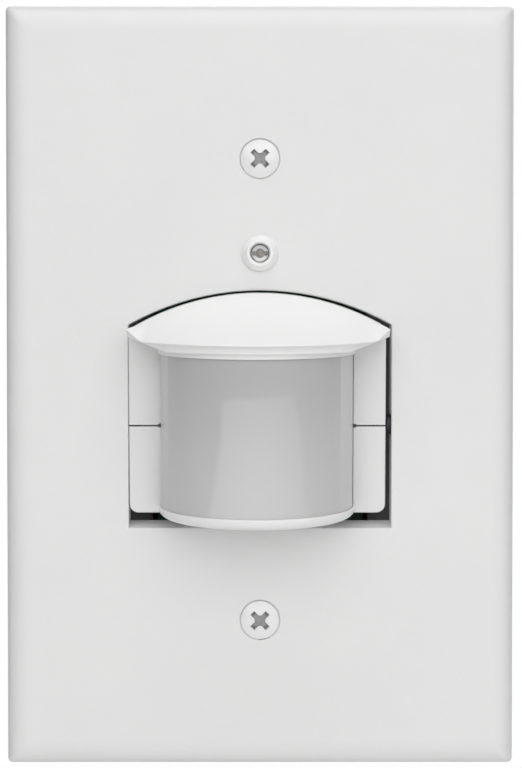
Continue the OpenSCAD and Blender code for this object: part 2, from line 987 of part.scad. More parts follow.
module lower_shell() {
  color("white")
    in_head()
      difference() {
        union() {
          intersection() {
            head_case();
            block([-far / 2, -far, -far], [far / 2, far, pivot_z]);
          }
          lip();
          case_bosses(boss_low);
        }
        lens_groove(lens_low - groove, lens_low + over);
        seam_cuts();
        for (s = [-1, 1])
          rod_y(s * boss_x, boss_low, tiny_d + 2 * run_fit, ear_y + over, case_rear + over);
      }
}

// Half-round lens with straight legs behind the ears and a flange trapped against each ear
module fresnel_lens() {
  edge = groove - lens_seat;
  color("silver", 0.9)
    in_head() {
      half_ring(lens_r - lens_t, lens_r, lens_low - edge, lens_high + edge);
      for (s = [-1, 1]) {
        pad([s > 0 ? lens_r - lens_t : -lens_r, leg_low, s > 0 ? lens_r : lens_t - lens_r, leg_high],
          ear_y, flange_y + flange_t);
        pad([s > 0 ? lens_r - lens_t : -flange_out, flange_low, s > 0 ? flange_out : lens_t - lens_r,
          flange_high], flange_y, flange_y + flange_t);
      }
    }
}

// Places of the four cover screws and the two board screws of the head
module at_cover_screws() {
  for (s = [-1, 1], z = [boss_high, boss_low])
    translate([s * boss_x, 0, z])
      children();
}

module at_post_screws() {
  translate([-post_x, 0, post_high])
    children();
  translate([post_x, 0, post_low])
    children();
}

module head_back() {
  color("white")
    in_head()
      difference() {
        union() {
          slab(case_rear, back_y)
            head_outline(back_inset);
          difference() {
            pad([-chamber_x, chamber_low, chamber_x, chamber_high], case_rear, chamber_rear);
            pad([chamber_t - chamber_x, chamber_low + chamber_t, chamber_x - chamber_t,
              chamber_high - chamber_t], case_rear - over, chamber_rear - chamber_t);
          }
          at_post_screws()
            rod_y(0, 0, post_d, sensor_rear, chamber_rear - chamber_t + lap);
        }
        difference() {
          pad([chamber_t - chamber_x, chamber_low + chamber_t, chamber_x - chamber_t, chamber_high - chamber_t],
            case_rear - over, back_y + lap);
          at_post_screws()
            rod_y(0, 0, post_d, sensor_rear, back_y + over);
        }
        at_cover_screws()
          rod_y(0, 0, tiny_d + 2 * fit, case_rear - over, back_y + over);
        at_post_screws()
          rod_y(0, 0, tiny_d + 2 * run_fit, sensor_rear - over, sensor_rear + tiny_bite);
        pad([-plug_size[0] / 2 - fit, plug_z - plug_size[2] / 2 - fit, plug_size[0] / 2 + fit,
          plug_z + plug_size[2] / 2 + fit], case_rear, chamber_rear + over);
      }
}

module head_screws() {
  color("silver")
    in_head() {
      at_cover_screws()
        translate([0, back_y, 0])
          tapping_screw(tiny_head_d, tiny_head_h, tiny_d, back_y - ear_y - over - fit);
      at_post_screws()
        translate([0, sensor_y, 0])
          rotate([0, 0, 180])
            tapping_screw(tiny_head_d, tiny_head_h, tiny_d, sensor_t + tiny_bite - fit);
    }
}

module sensor_board() {
  color("darkgreen")
    in_head()
      difference() {
        pad([-sensor_x, sensor_low, sensor_x, sensor_high], sensor_y, sensor_rear);
        at_post_screws()
          rod_y(0, 0, tiny_d + 2 * fit, sensor_y - over, sensor_rear + over);
        pir_leads(2 * fit);
      }
}

// Three leads of the detector, through the sensor board
module pir_leads(grow) {
  for (a = [90, 210, 330])
    rod_y(pir_lead_r * cos(a), pir_z + pir_lead_r * sin(a), lead_d + grow, sensor_y - pir_flange - lap,
      sensor_rear + lap);
}

// Detector can with a rectangular window in its front
module pir_can() {
  color("silver")
    in_head() {
      difference() {
        rod_y(0, pir_z, pir_d, sensor_y - pir_h, sensor_y);
        rod_y(0, pir_z, pir_d - 2 * pir_skin, sensor_y - pir_h + pir_skin, sensor_y - pir_flange);
        pad([-pir_window[0] / 2, pir_z - pir_window[1] / 2, pir_window[0] / 2, pir_z + pir_window[1] / 2],
          sensor_y - pir_h - over, sensor_y - pir_flange);
      }
      rod_y(0, pir_z, pir_flange_d, sensor_y - pir_flange, sensor_y);
      pir_leads(0);
    }
}

// Infrared filter behind the can's window
module pir_filter() {
  w = pir_window[0] / 2 + 0.4;
  h = pir_window[1] / 2 + 0.4;
  color("black")
    in_head()
      pad([-w, pir_z - h, w, pir_z + h], sensor_y - pir_h + pir_skin, sensor_y - pir_h + 2 * pir_skin);
}

module photocell() {
  color("saddlebrown")
    in_head()
      rod_y(cell_x, cell_z, cell_d, sensor_y - cell_h, sensor_y);
}

module amplifier_chip() {
  w = amp_size[0] / 2;
  h = amp_size[2] / 2;
  color("black")
    in_head()
      pad([amp_x - w, amp_z - h, amp_x + w, amp_z + h], sensor_rear, sensor_rear + amp_size[1]);
}

module sensor_header() {
  color("ivory")
    in_head()
      translate([0, sensor_rear, plug_z])
        rotate([0, 0, 180])
          header();
}

// Moves a piece drawn about the plate's middle into the frame, whose origin is midway between the wall screws
module placed() {
  translate([0, 0, plate_rise])
    children();
}

placed() cover_plate();
placed() mounting_screws();
placed() led_bezel();
placed() indicator_led();
placed() led_leads();
placed() led_spacer();
placed() pivot_pins();
placed() friction_washer();
placed() spring_washer();
placed() rear_housing();
placed() housing_screws();
placed() main_board();
placed() board_screws();
placed() relay();
placed() film_capacitor();
placed() electrolytic_capacitor();
placed() varistor();
placed() rectifier();
placed() timer_chip();
placed() board_header();
placed() terminal_block();
placed() terminal_screws();
placed() trimmer_bodies();
placed() upper_shell();
placed() lower_shell();
placed() fresnel_lens();
placed() head_back();
placed() head_screws();
placed() sensor_board();
placed() pir_can();
placed() pir_filter();
placed() photocell();
placed() amplifier_chip();
placed() sensor_header();
placed() time_knob();
placed() light_knob();
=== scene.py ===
import json
import math

import bmesh
import bpy
from mathutils import Matrix, Vector


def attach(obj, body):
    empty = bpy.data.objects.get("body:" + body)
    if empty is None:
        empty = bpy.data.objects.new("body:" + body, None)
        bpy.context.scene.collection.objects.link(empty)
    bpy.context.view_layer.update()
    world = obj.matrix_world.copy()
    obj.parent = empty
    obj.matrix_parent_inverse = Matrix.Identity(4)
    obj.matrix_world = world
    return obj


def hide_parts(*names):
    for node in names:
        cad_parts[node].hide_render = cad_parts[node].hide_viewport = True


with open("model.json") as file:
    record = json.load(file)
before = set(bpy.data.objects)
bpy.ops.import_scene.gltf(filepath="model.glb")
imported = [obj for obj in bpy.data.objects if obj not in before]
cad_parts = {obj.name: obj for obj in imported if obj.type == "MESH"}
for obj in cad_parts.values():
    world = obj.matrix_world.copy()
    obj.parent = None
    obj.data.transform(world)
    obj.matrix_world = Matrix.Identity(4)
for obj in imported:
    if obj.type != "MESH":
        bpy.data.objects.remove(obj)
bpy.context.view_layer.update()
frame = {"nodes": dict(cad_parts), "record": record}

# White moulded plastic of the plate and the head's ears
# A bright satin ABS with a fine tool grain, a faint clouding of the pigment and an uneven gloss.
# The surface groups made here are shared by every other finish on the switch.
MM = 0.001
ROUNDED = "rounded"
GRAIN_SHARE = 0.5
GRAIN_DEEP = 0.2
WEAR_START = 0.4
WEAR_SCALE = 900.0


def surface_group(name, inputs, outputs):
    """Empty shader group with named sockets, and its input and output nodes"""
    group = bpy.data.node_groups.new(name, "ShaderNodeTree")
    for label, kind in inputs:
        group.interface.new_socket(label, in_out="INPUT", socket_type=kind)
    for label, kind in outputs:
        group.interface.new_socket(label, in_out="OUTPUT", socket_type=kind)
    return group, group.nodes.new("NodeGroupInput"), group.nodes.new("NodeGroupOutput")


def group_node(tree, group, values):
    """Node that uses a shader group, with its inputs set"""
    node = tree.nodes.new("ShaderNodeGroup")
    node.node_tree = group
    for label, value in values.items():
        node.inputs[label].default_value = value
    return node


def math_node(tree, operation, a, b):
    """Math node on two sockets or numbers; returns its result"""
    node = tree.nodes.new("ShaderNodeMath")
    node.operation = operation
    for slot, value in zip(node.inputs, (a, b)):
        if isinstance(value, (int, float)):
            slot.default_value = value
        else:
            tree.links.new(value, slot)
    return node.outputs[0]


def blend_colors(tree, factor, a, b):
    """Mix of two colours by a factor socket; returns the mixed colour"""
    node = tree.nodes.new("ShaderNodeMix")
    node.data_type = "RGBA"
    tree.links.new(factor, node.inputs[0])
    tree.links.new(a, node.inputs[6])
    tree.links.new(b, node.inputs[7])
    return node.outputs[2]


def noise(tree, coords, scale, detail):
    """Noise texture on the given coordinates; scale is a socket or a number"""
    node = tree.nodes.new("ShaderNodeTexNoise")
    node.inputs["Detail"].default_value = detail
    tree.links.new(coords, node.inputs["Vector"])
    if isinstance(scale, (int, float)):
        node.inputs["Scale"].default_value = scale
    else:
        tree.links.new(scale, node.inputs["Scale"])
    return node.outputs[0]


def make_moulded_skin():
    """Clouded pigment, uneven gloss and fine tool grain of a moulded surface"""
    group, given, made = surface_group(
        "moulded_skin",
        [("Color", "NodeSocketColor"), ("Cloud Color", "NodeSocketColor"), ("Cloud Scale", "NodeSocketFloat"),
         ("Grain Scale", "NodeSocketFloat"), ("Roughness", "NodeSocketFloat"), ("Spread", "NodeSocketFloat")],
        [("Color", "NodeSocketColor"), ("Roughness", "NodeSocketFloat"), ("Height", "NodeSocketFloat")])
    coords = group.nodes.new("ShaderNodeTexCoord").outputs["Object"]
    cloud = noise(group, coords, given.outputs["Cloud Scale"], detail=4.0)
    grain = noise(group, coords, given.outputs["Grain Scale"], detail=2.0)
    color = blend_colors(group, cloud, given.outputs["Color"], given.outputs["Cloud Color"])
    uneven = math_node(group, "ADD", cloud, math_node(group, "MULTIPLY", grain, GRAIN_SHARE))
    uneven = math_node(group, "SUBTRACT", uneven, (1.0 + GRAIN_SHARE) / 2)
    uneven = math_node(group, "MULTIPLY", uneven, given.outputs["Spread"])
    group.links.new(color, made.inputs["Color"])
    group.links.new(math_node(group, "ADD", uneven, given.outputs["Roughness"]), made.inputs["Roughness"])
    group.links.new(grain, made.inputs["Height"])
    return group


def make_edge_wear():
    """Mask of the faces that round a piece's edges, broken up by noise, for rubbed corners"""
    group, given, made = surface_group(
        "edge_wear", [("Wear", "NodeSocketFloat"), ("Break Scale", "NodeSocketFloat")],
        [("Mask", "NodeSocketFloat")])
    coords = group.nodes.new("ShaderNodeTexCoord").outputs["Object"]
    ridge = group.nodes.new("ShaderNodeAttribute")
    ridge.attribute_name = ROUNDED
    patchy = noise(group, coords, given.outputs["Break Scale"], detail=3.0)
    lifted = math_node(group, "SUBTRACT", patchy, WEAR_START)
    lifted = math_node(group, "MULTIPLY", lifted, given.outputs["Wear"])
    mask = math_node(group, "MULTIPLY", lifted, ridge.outputs["Fac"])
    capped = math_node(group, "MINIMUM", math_node(group, "MAXIMUM", mask, 0.0), 1.0)
    group.links.new(capped, made.inputs["Mask"])
    return group


MOULDED_SKIN = make_moulded_skin()
EDGE_WEAR = make_edge_wear()


def finish(name, color, cloud, rough, spread=0.08, cloud_scale=45.0, grain_scale=2600.0, grain=0.02,
           worn=None, wear=0.0, **sockets):
    """Material from the shared groups: two near colours, roughness, grain depth and a worn edge colour"""
    material = bpy.data.materials.new(name)
    material.use_nodes = True
    tree = material.node_tree
    shader = tree.nodes["Principled BSDF"]
    moulded = group_node(tree, MOULDED_SKIN, {
        "Color": (*color, 1.0), "Cloud Color": (*cloud, 1.0), "Cloud Scale": cloud_scale,
        "Grain Scale": grain_scale, "Roughness": rough, "Spread": spread})
    shown = moulded.outputs["Color"]
    if worn:
        edges = group_node(tree, EDGE_WEAR, {"Wear": wear, "Break Scale": WEAR_SCALE})
        bare = tree.nodes.new("ShaderNodeRGB")
        bare.outputs[0].default_value = (*worn, 1.0)
        shown = blend_colors(tree, edges.outputs["Mask"], shown, bare.outputs[0])
    bump = tree.nodes.new("ShaderNodeBump")
    bump.inputs["Strength"].default_value = grain
    bump.inputs["Distance"].default_value = GRAIN_DEEP * MM
    tree.links.new(moulded.outputs["Height"], bump.inputs["Height"])
    tree.links.new(shown, shader.inputs["Base Color"])
    tree.links.new(moulded.outputs["Roughness"], shader.inputs["Roughness"])
    tree.links.new(bump.outputs["Normal"], shader.inputs["Normal"])
    for label, value in sockets.items():
        shader.inputs[label.replace("_", " ")].default_value = value
    return material


white_plastic = finish("white_plastic", (0.80, 0.80, 0.795), (0.77, 0.77, 0.77), 0.42, spread=0.10,
                       grain=0.10, Specular_IOR_Level=0.3)

# Cover plate
# The oversize wall plate: a white moulding with rounded shoulders, an arched opening for the sensor head, and
# a collar, bosses and ribs behind. Its back is the frame's own, and its outer skin is drawn round that.
FRONT = -6.4
SHOULDER = 4.2
SHOULDER_IN = 4.6
SHOULDER_STEP = 0.4
WALL_TOP = FRONT + SHOULDER
SKIN_X, SKIN_Z = 42.5, 65.5
OPEN_HALF = 23.75
RISE = 0.65
OPEN_LOW = RISE - 25.6
OPEN_TOP = RISE + 17.35
ARCH_R = 48.6
ARCH_Z = OPEN_TOP - ARCH_R
EDGE_NEAR, ARCH_NEAR = 0.75, 1.2
RIM_ROUND = 0.3
LED_Z = RISE + 24.0
SCREW_Z = 41.67
HOLES_WITHIN = 5.0
HOLE_STEP = 0.2
NODE_BODY = {n: body for body, names in frame["record"]["behaviour"]["bodies"].items() for n in names}


def cad_copy(node):
    """Merged copy of a frame node's mesh, with its flat faces made whole again"""
    bm = bmesh.new()
    bm.from_mesh(frame["nodes"][node].data)
    bmesh.ops.remove_doubles(bm, verts=bm.verts[:], dist=0.002 * MM)
    bmesh.ops.dissolve_limit(bm, angle_limit=math.radians(0.4), verts=bm.verts[:], edges=bm.edges[:])
    return bm


def add_piece(bm, name, node, material, smooth=32.0, replaces=True):
    """Object from a mesh in metres, which rides with its node's body, takes a material and stands in as a
    frame node does
    """
    mesh = bpy.data.meshes.new(name)
    bm.to_mesh(mesh)
    bm.free()
    mesh.shade_smooth()
    mesh.set_sharp_from_angle(angle=math.radians(smooth))
    mesh.materials.append(material)
    made = bpy.data.objects.new(name, mesh)
    bpy.context.scene.collection.objects.link(made)
    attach(made, NODE_BODY[node])
    if replaces:
        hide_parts(node)
    return made


def pull_rim(bm, rim, moves):
    """Extrudes an edge loop step by step; each move gives a vertex its new place. Returns the last loop"""
    for move in moves:
        pulled = bmesh.ops.extrude_edge_only(bm, edges=rim)["geom"]
        fresh = {g for g in pulled if isinstance(g, bmesh.types.BMVert)}
        for vert in fresh:
            vert.co = move(vert.co.copy())
        rim = [g for g in pulled if isinstance(g, bmesh.types.BMEdge) and set(g.verts) <= fresh]
    return rim


def level(edge, y):
    """True for an open edge that lies at the depth y, in mm"""
    return edge.is_boundary and all(abs(v.co.y - y * MM) < 0.01 * MM for v in edge.verts)


def at_opening(vert):
    """True for a rim vertex of the arched opening: off the middle line, or at its sill or crown"""
    off_level = min(abs(vert.co.z - z * MM) for z in (OPEN_LOW, OPEN_TOP))
    return abs(vert.co.x) > HOLES_WITHIN * MM or off_level < EDGE_NEAR * MM


def shoulder_step(inset, gone, y):
    """Move of a rim vertex to a deeper inset of the plate's outline, at the depth y"""
    step = (inset - gone) * MM

    def place(co):
        x, z = co.x - math.copysign(step, co.x), co.z - math.copysign(step, co.z - RISE * MM)
        return Vector((x, y * MM, z))
    return place


def opening_step(grown, y):
    """Move of an opening vertex to the outline grown by some mm, at the depth y"""
    def place(co):
        x, z = co.x / MM, co.z / MM
        side = abs(abs(x) - OPEN_HALF) < EDGE_NEAR
        if side:
            x = math.copysign(OPEN_HALF + grown, x)
        if z < OPEN_LOW + EDGE_NEAR:
            z = OPEN_LOW - grown
        elif abs(math.hypot(x, z - ARCH_Z) - ARCH_R) < ARCH_NEAR:
            if side:
                z = ARCH_Z + math.sqrt((ARCH_R + grown) ** 2 - x * x)
            else:
                reach = (ARCH_R + grown) / math.hypot(x, z - ARCH_Z)
                x, z = x * reach, ARCH_Z + (z - ARCH_Z) * reach
        return Vector((x * MM, y * MM, z * MM))
    return place


def hole_step(co):
    """Move of a round hole's vertex one step outwards on the front"""
    nearest = min((LED_Z, SCREW_Z, -SCREW_Z), key=lambda z: abs(co.z - z * MM))
    return co + (co - Vector((0, co.y, nearest * MM))).normalized() * HOLE_STEP * MM


def plate_skin(face):
    """True for a face of the plate's front, shoulders and sides"""
    center, normal = face.calc_center_median(), face.normal
    height = center.z - RISE * MM
    front = normal.y < -0.999 and center.y < (FRONT + 0.1) * MM
    out_x = abs(center.x) > SKIN_X * MM and normal.x * center.x > 0.02 * abs(center.x)
    out_z = abs(height) > SKIN_Z * MM and normal.z * height > 0.02 * abs(height)
    return front or (normal.y < 0.5 and (out_x or out_z))


plate = cad_copy("cover_plate")
bmesh.ops.delete(plate, geom=[f for f in plate.faces if plate_skin(f)], context="FACES_ONLY")
bmesh.ops.delete(plate, geom=[e for e in plate.edges if not e.link_faces], context="EDGES")
bmesh.ops.delete(plate, geom=[v for v in plate.verts if not v.link_edges], context="VERTS")
turns = [math.radians(a) for a in range(9, 91, 9)]
insets = [0.0] + [SHOULDER_IN * (1 - math.cos(a)) for a in turns]
insets += [SHOULDER_IN + SHOULDER_STEP, SHOULDER_IN + 2 * SHOULDER_STEP]
levels = [WALL_TOP] + [WALL_TOP - SHOULDER * math.sin(a) for a in turns] + [FRONT, FRONT]
gone = [0.0] + insets[:-1]
holes = [e for e in plate.edges if level(e, FRONT)]
shoulder = pull_rim(plate, [e for e in plate.edges if level(e, 0.0)],
                    [shoulder_step(*row) for row in zip(insets, gone, levels)])
opening = [e for e in holes if all(at_opening(v) for v in e.verts)]
others = [e for e in holes if e not in opening]
for vert in {v for e in opening for v in e.verts}:
    vert.co.y = (FRONT + RIM_ROUND) * MM
growth = [(RIM_ROUND * (1 - math.cos(a)), FRONT + RIM_ROUND * (1 - math.sin(a)))
          for a in (math.pi / 6, math.pi / 3, math.pi / 2)]
growth += [(RIM_ROUND + HOLE_STEP, FRONT), (RIM_ROUND + 2 * HOLE_STEP, FRONT)]
opening = pull_rim(plate, opening, [opening_step(*row) for row in growth])
others = pull_rim(plate, others, [hole_step, hole_step])
bmesh.ops.triangle_fill(plate, use_beauty=True, edges=shoulder + opening + others, normal=(0, -1, 0))
bmesh.ops.recalc_face_normals(plate, faces=plate.faces[:])
add_piece(plate, "plate_moulding", "cover_plate", white_plastic)

# Wall screws
# Two steel screws with oval heads, enamelled white to match the plate. Shanks are bare steel, and the
# recesses are lined in a darker grey that paints their shade.
# Each head sits in a countersunk seat of the plate, and its threaded shank goes on into the wall box.
HEAD_TOP = -7.3
DOME_R = 7.06
DOME_EDGE = 2.3
RECESS_R = 2.1
RECESS_LIP, RECESS_DEEP = 0.09, 1.5
RECESS_FLOOR = -6.55
RECESS_SOFT = 0.18
LINING = 0.02
NECK_END = -0.6
CORE_R, POINT_R = 1.3, 0.8
THREAD_ROOT, THREAD_CREST = 1.26, 1.73
THREAD_END = 19.0
THREAD_PITCH = 0.794
TURN_STEPS = 18
white_paint = finish("white_paint", (0.86, 0.86, 0.855), (0.82, 0.82, 0.82), 0.30, spread=0.10,
                     cloud_scale=420.0, grain_scale=1500.0, grain=0.12, worn=(0.55, 0.55, 0.54), wear=2.0,
                     Coat_Weight=0.25)
dark_steel = finish("dark_steel", (0.07, 0.07, 0.075), (0.045, 0.045, 0.05), 0.55, spread=0.16,
                    cloud_scale=350.0, grain=0.08, worn=(0.25, 0.25, 0.25), wear=3.0, Metallic=1.0)
# A darker grey for the lining of the screw recesses: painted shade of their depth.
recess_shade_grey = finish("recess_shade_grey", (0.38, 0.38, 0.38), (0.25, 0.25, 0.25), 0.5, spread=0.2, cloud_scale=1500.0,
                   grain_scale=2400.0, grain=0.2)
tinned_steel = finish("tinned_steel", (0.66, 0.66, 0.65), (0.56, 0.56, 0.55), 0.30, spread=0.16,
                      cloud_scale=300.0, grain_scale=3200.0, grain=0.08, worn=(0.82, 0.82, 0.81), wear=4.0,
                      Metallic=1.0)


def soften(bm, edges, width, segments=2, unit=MM):
    """Rounds edges by a width in mm and marks the new faces; unit is 1 on a mesh still drawn in mm"""
    mark = bm.faces.layers.float.get(ROUNDED) or bm.faces.layers.float.new(ROUNDED)
    made = bmesh.ops.bevel(bm, geom=edges, offset=width * unit, offset_type="OFFSET", segments=segments,
                           profile=0.5, affect="EDGES", clamp_overlap=True, material=-1)
    for face in made["faces"]:
        face[mark] = 1.0


def hard_edges(bm, angle=35.0):
    """Edges between faces that meet at more than an angle, in degrees"""
    return [e for e in bm.edges if len(e.link_faces) == 2 and e.calc_face_angle(0.0) > math.radians(angle)]


def section_ring(points):
    """New mesh with a closed ring of edges through points, and what the ring is made of"""
    bm = bmesh.new()
    verts = [bm.verts.new(p) for p in points]
    return bm, verts + [bm.edges.new((a, b)) for a, b in zip(verts, verts[1:] + verts[:1])]


def merge(bm, dist):
    """Merges vertices that meet and drops the edges that are left without a face"""
    bmesh.ops.remove_doubles(bm, verts=bm.verts[:], dist=dist)
    bmesh.ops.delete(bm, geom=[e for e in bm.edges if not e.link_faces], context="EDGES")


def closed(bm):
    """Fills the holes that are left in a mesh and turns its faces outwards"""
    bmesh.ops.holes_fill(bm, edges=[e for e in bm.edges if e.is_boundary], sides=0)
    bmesh.ops.recalc_face_normals(bm, faces=bm.faces[:])
    return bm


def spun(profile, steps=48):
    """Solid from a closed profile of points (r, y) in mm, spun about the Y axis"""
    bm, ring = section_ring([(r, y, 0) for r, y in profile])
    bmesh.ops.spin(bm, geom=ring, cent=(0, 0, 0), axis=(0, 1, 0), angle=math.tau, steps=steps, use_merge=True)
    merge(bm, 0.001)
    bmesh.ops.recalc_face_normals(bm, faces=bm.faces[:])
    return bm


def join(bm, other, matrix=Matrix.Identity(4)):
    """Adds another mesh to this one, moved by a matrix"""
    other.transform(matrix)
    spare = bpy.data.meshes.new("spare")
    other.to_mesh(spare)
    other.free()
    bm.from_mesh(spare)
    bpy.data.meshes.remove(spare)


def thread(y0, y1, root, crest, pitch):
    """Helical ridge along Y in mm, a closed trapezoid section wound about the axis"""
    turns = (y1 - y0) / pitch - 1
    steps = int(turns * TURN_STEPS)
    section = ((root, 0.0), (crest, 0.36), (crest, 0.5), (root, 0.86))
    bm, ring = section_ring([(r, y0 + pitch * share, 0) for r, share in section])
    bmesh.ops.spin(bm, geom=ring, cent=(0, 0, 0), axis=(0, 1, 0), dvec=(0, pitch * turns / steps, 0),
                   angle=math.tau * turns, steps=steps, use_merge=False)
    return closed(bm)


def off_axis(co):
    """Distance of a point from the axis of the nearer screw, in mm"""
    return math.hypot(co.x, abs(co.z) - SCREW_Z * MM) / MM


def off_dome(co):
    """Depth of a point below the dome of the nearer screw head, in mm"""
    r = off_axis(co)
    if r > DOME_EDGE:
        return math.inf
    return co.y / MM - HEAD_TOP - DOME_R + math.sqrt(DOME_R ** 2 - r * r)


def in_recess(face):
    """True for a face of a head's cross recess"""
    center = face.calc_center_median()
    return off_axis(center) < RECESS_R and RECESS_LIP < off_dome(center) < RECESS_DEEP


heads = cad_copy("mounting_screws")
behind = [f for f in heads.faces if f.calc_center_median().y > (NECK_END - 0.02) * MM]
bmesh.ops.delete(heads, geom=behind, context="FACES")
bmesh.ops.holes_fill(heads, edges=[e for e in heads.edges if e.is_boundary], sides=0)
on_dome = [e for e in hard_edges(heads, 50.0) if all(off_dome(v.co) < 0.02 for v in e.verts)]
soften(heads, on_dome, RECESS_SOFT, 3)
for vert in {v for f in heads.faces if in_recess(f) for v in f.verts}:
    vert.co.y = min(vert.co.y, RECESS_FLOOR * MM)
# A thin lining in the darker grey is laid inside each cross recess as painted shade.
recesses = heads.copy()
bmesh.ops.delete(recesses, geom=[f for f in recesses.faces if not in_recess(f)], context="FACES")
bmesh.ops.solidify(recesses, geom=recesses.faces[:], thickness=-LINING * MM)
bmesh.ops.recalc_face_normals(recesses, faces=recesses.faces[:])
add_piece(heads, "screw_heads", "mounting_screws", white_paint)
recesses = add_piece(recesses, "screw_recesses", "mounting_screws", recess_shade_grey)
shanks = bmesh.new()
for z in (SCREW_Z, -SCREW_Z):
    core = spun([(0, NECK_END - 0.5), (CORE_R, NECK_END - 0.5), (CORE_R, THREAD_END - 0.7),
                 (POINT_R, THREAD_END), (0, THREAD_END)], steps=24)
    join(core, thread(NECK_END + 0.1, THREAD_END - 0.5, THREAD_ROOT, THREAD_CREST, THREAD_PITCH))
    join(shanks, core, Matrix.Translation((0, 0, z * MM)) @ Matrix.Scale(MM, 4))
shanks = add_piece(shanks, "screw_shanks", "mounting_screws", tinned_steel)

# Indicator lamp and its bezel
# A clear epoxy lamp with its cup, posts and white reflector seen through the dome, in a white tapered bezel.
# The bezel is pressed into the plate, and a black spacer holds the lamp off the main board.
BEZEL_R, BEZEL_SHANK = 3.2, 2.45
BEZEL_TIP, BEZEL_REAR = -7.9, -3.2
BEZEL_SOFT = 0.2
BORE_R, SEAT_R = 1.69, 1.85
LED_FRONT, LED_REAR = -7.8, -3.0
LED_R, LED_FLANGE_R = 1.6, 1.77
LED_FLANGE = 0.8
POST_X, POST_Y = 0.95, -4.8
POST_SIZE = (0.75, 3.5, 0.6)
DIE_Y = -6.34
DIE_SIZE = (0.22, 0.18, 0.22)


def ring_points(center_r, center_y, radius, start, end, count):
    """Points of an arc in the r, y half-plane, angles in degrees from +r towards -y"""
    angles = [math.radians(start + (end - start) * i / count) for i in range(count + 1)]
    return [(center_r + radius * math.cos(a), center_y - radius * math.sin(a)) for a in angles]


def block(size, place=(0, 0, 0), width=0.06, segments=2):
    """Cuboid in mm with its edges rounded by a width"""
    bm = bmesh.new()
    bmesh.ops.create_cube(bm, size=1.0, matrix=Matrix.Translation(place) @ Matrix.Diagonal((*size, 1)))
    soften(bm, hard_edges(bm), width, segments, unit=1.0)
    return bm


def at_lamp(bm):
    """Moves a mesh drawn in mm about the lamp's axis to its place, in metres"""
    bm.transform(Matrix.Translation((0, 0, LED_Z * MM)) @ Matrix.Scale(MM, 4))
    return bm


def split_by_ray(tree, ray, usual, special):
    """Shows one shader to a kind of ray and the usual one to all other rays"""
    path = tree.nodes.new("ShaderNodeLightPath")
    pick = tree.nodes.new("ShaderNodeMixShader")
    tree.links.new(path.outputs[ray], pick.inputs[0])
    tree.links.new(usual.outputs[0], pick.inputs[1])
    tree.links.new(special.outputs[0], pick.inputs[2])
    end = next(n for n in tree.nodes if n.type in ("OUTPUT_MATERIAL", "OUTPUT_WORLD"))
    tree.links.new(pick.outputs[0], end.inputs["Surface"])


# A paler copy of the same white plastic for the hood, lip, bezel, reflector and head back; its extra paleness
# is painted light.
painted_lit_white = finish("painted_lit_white", (0.88, 0.88, 0.875), (0.85, 0.85, 0.85), 0.40, spread=0.10, grain=0.10,
                      worn=(0.90, 0.90, 0.90), wear=3.0)
bezel = spun([(SEAT_R, BEZEL_REAR), (BEZEL_SHANK, BEZEL_REAR), (BEZEL_SHANK, FRONT), (BEZEL_R, FRONT)]
             + ring_points(BEZEL_R - BEZEL_SOFT, FRONT - 0.45, BEZEL_SOFT, 0, 60, 3)
             + ring_points(SEAT_R + 2 * BEZEL_SOFT, BEZEL_TIP, BEZEL_SOFT, 42, 90, 3)
             + ring_points(SEAT_R + BEZEL_SOFT, BEZEL_TIP, BEZEL_SOFT, 90, 180, 4)
             + [(BORE_R + 0.03, -7.4), (BORE_R, -7.3), (BORE_R, -4.1), (SEAT_R, -3.95)], steps=72)
add_piece(at_lamp(bezel), "lamp_bezel", "led_bezel", painted_lit_white)

clear_epoxy = finish("clear_epoxy", (0.97, 0.98, 0.975), (0.94, 0.96, 0.955), 0.06, spread=0.05,
                     cloud_scale=500.0, grain=0.0, Transmission_Weight=1.0, IOR=1.52)
epoxy_tree = clear_epoxy.node_tree
split_by_ray(epoxy_tree, "Is Shadow Ray", epoxy_tree.nodes["Principled BSDF"],
             epoxy_tree.nodes.new("ShaderNodeBsdfTransparent"))
lamp = spun(ring_points(0, LED_FRONT + LED_R, LED_R, 90, 0, 10)
            + [(LED_R, LED_REAR - LED_FLANGE), (LED_FLANGE_R, LED_REAR - LED_FLANGE),
               (LED_FLANGE_R, LED_REAR), (0, LED_REAR)])
add_piece(at_lamp(lamp), "lamp_dome", "indicator_led", clear_epoxy)

die_amber = finish("die_amber", (0.55, 0.35, 0.08), (0.45, 0.25, 0.05), 0.4, grain=0.0)
lead_silver = finish("lead_silver", (0.44, 0.44, 0.43), (0.16, 0.16, 0.16), 0.35, spread=0.2,
                     cloud_scale=3000.0, grain_scale=4000.0, grain=0.2, Metallic=0.25)
reflector = spun([(0.6, -6.35), (1.45, -6.55), (1.45, -6.4), (0.6, -6.2)])
add_piece(at_lamp(reflector), "lamp_reflector", "led_bezel", painted_lit_white, replaces=False)
cup = spun([(0.25, -6.25), (0.5, -6.45), (0.57, -6.45), (0.5, -5.8), (0.3, LED_REAR - 0.05),
            (0, LED_REAR - 0.05), (0, -6.25)], steps=24)
for side in (1, -1):
    join(cup, block(POST_SIZE, (side * POST_X, POST_Y, 0)))
lead_frame = add_piece(at_lamp(cup), "lamp_lead_frame", "indicator_led", lead_silver, replaces=False)
die = block(DIE_SIZE, (0, DIE_Y, 0), width=0.03)
die = add_piece(at_lamp(die), "lamp_die", "indicator_led", die_amber, replaces=False)

black_plastic = finish("black_plastic", (0.030, 0.030, 0.031), (0.045, 0.045, 0.046), 0.48, spread=0.16,
                       grain=0.14, worn=(0.11, 0.11, 0.11), wear=3.0)


def rounded_node(node, name, material, width=0.15, segments=2):
    """Stands in for a frame node with the same shape, its hard edges rounded by a width in mm"""
    bm = cad_copy(node)
    soften(bm, hard_edges(bm), width, segments)
    made = add_piece(bm, name, node, material)
    even = made.modifiers.new("even_faces", "WEIGHTED_NORMAL")
    even.keep_sharp = True
    return made


rounded_node("led_leads", "lamp_leads", tinned_steel, 0.08)
rounded_node("led_spacer", "lamp_spacer", black_plastic, 0.12)

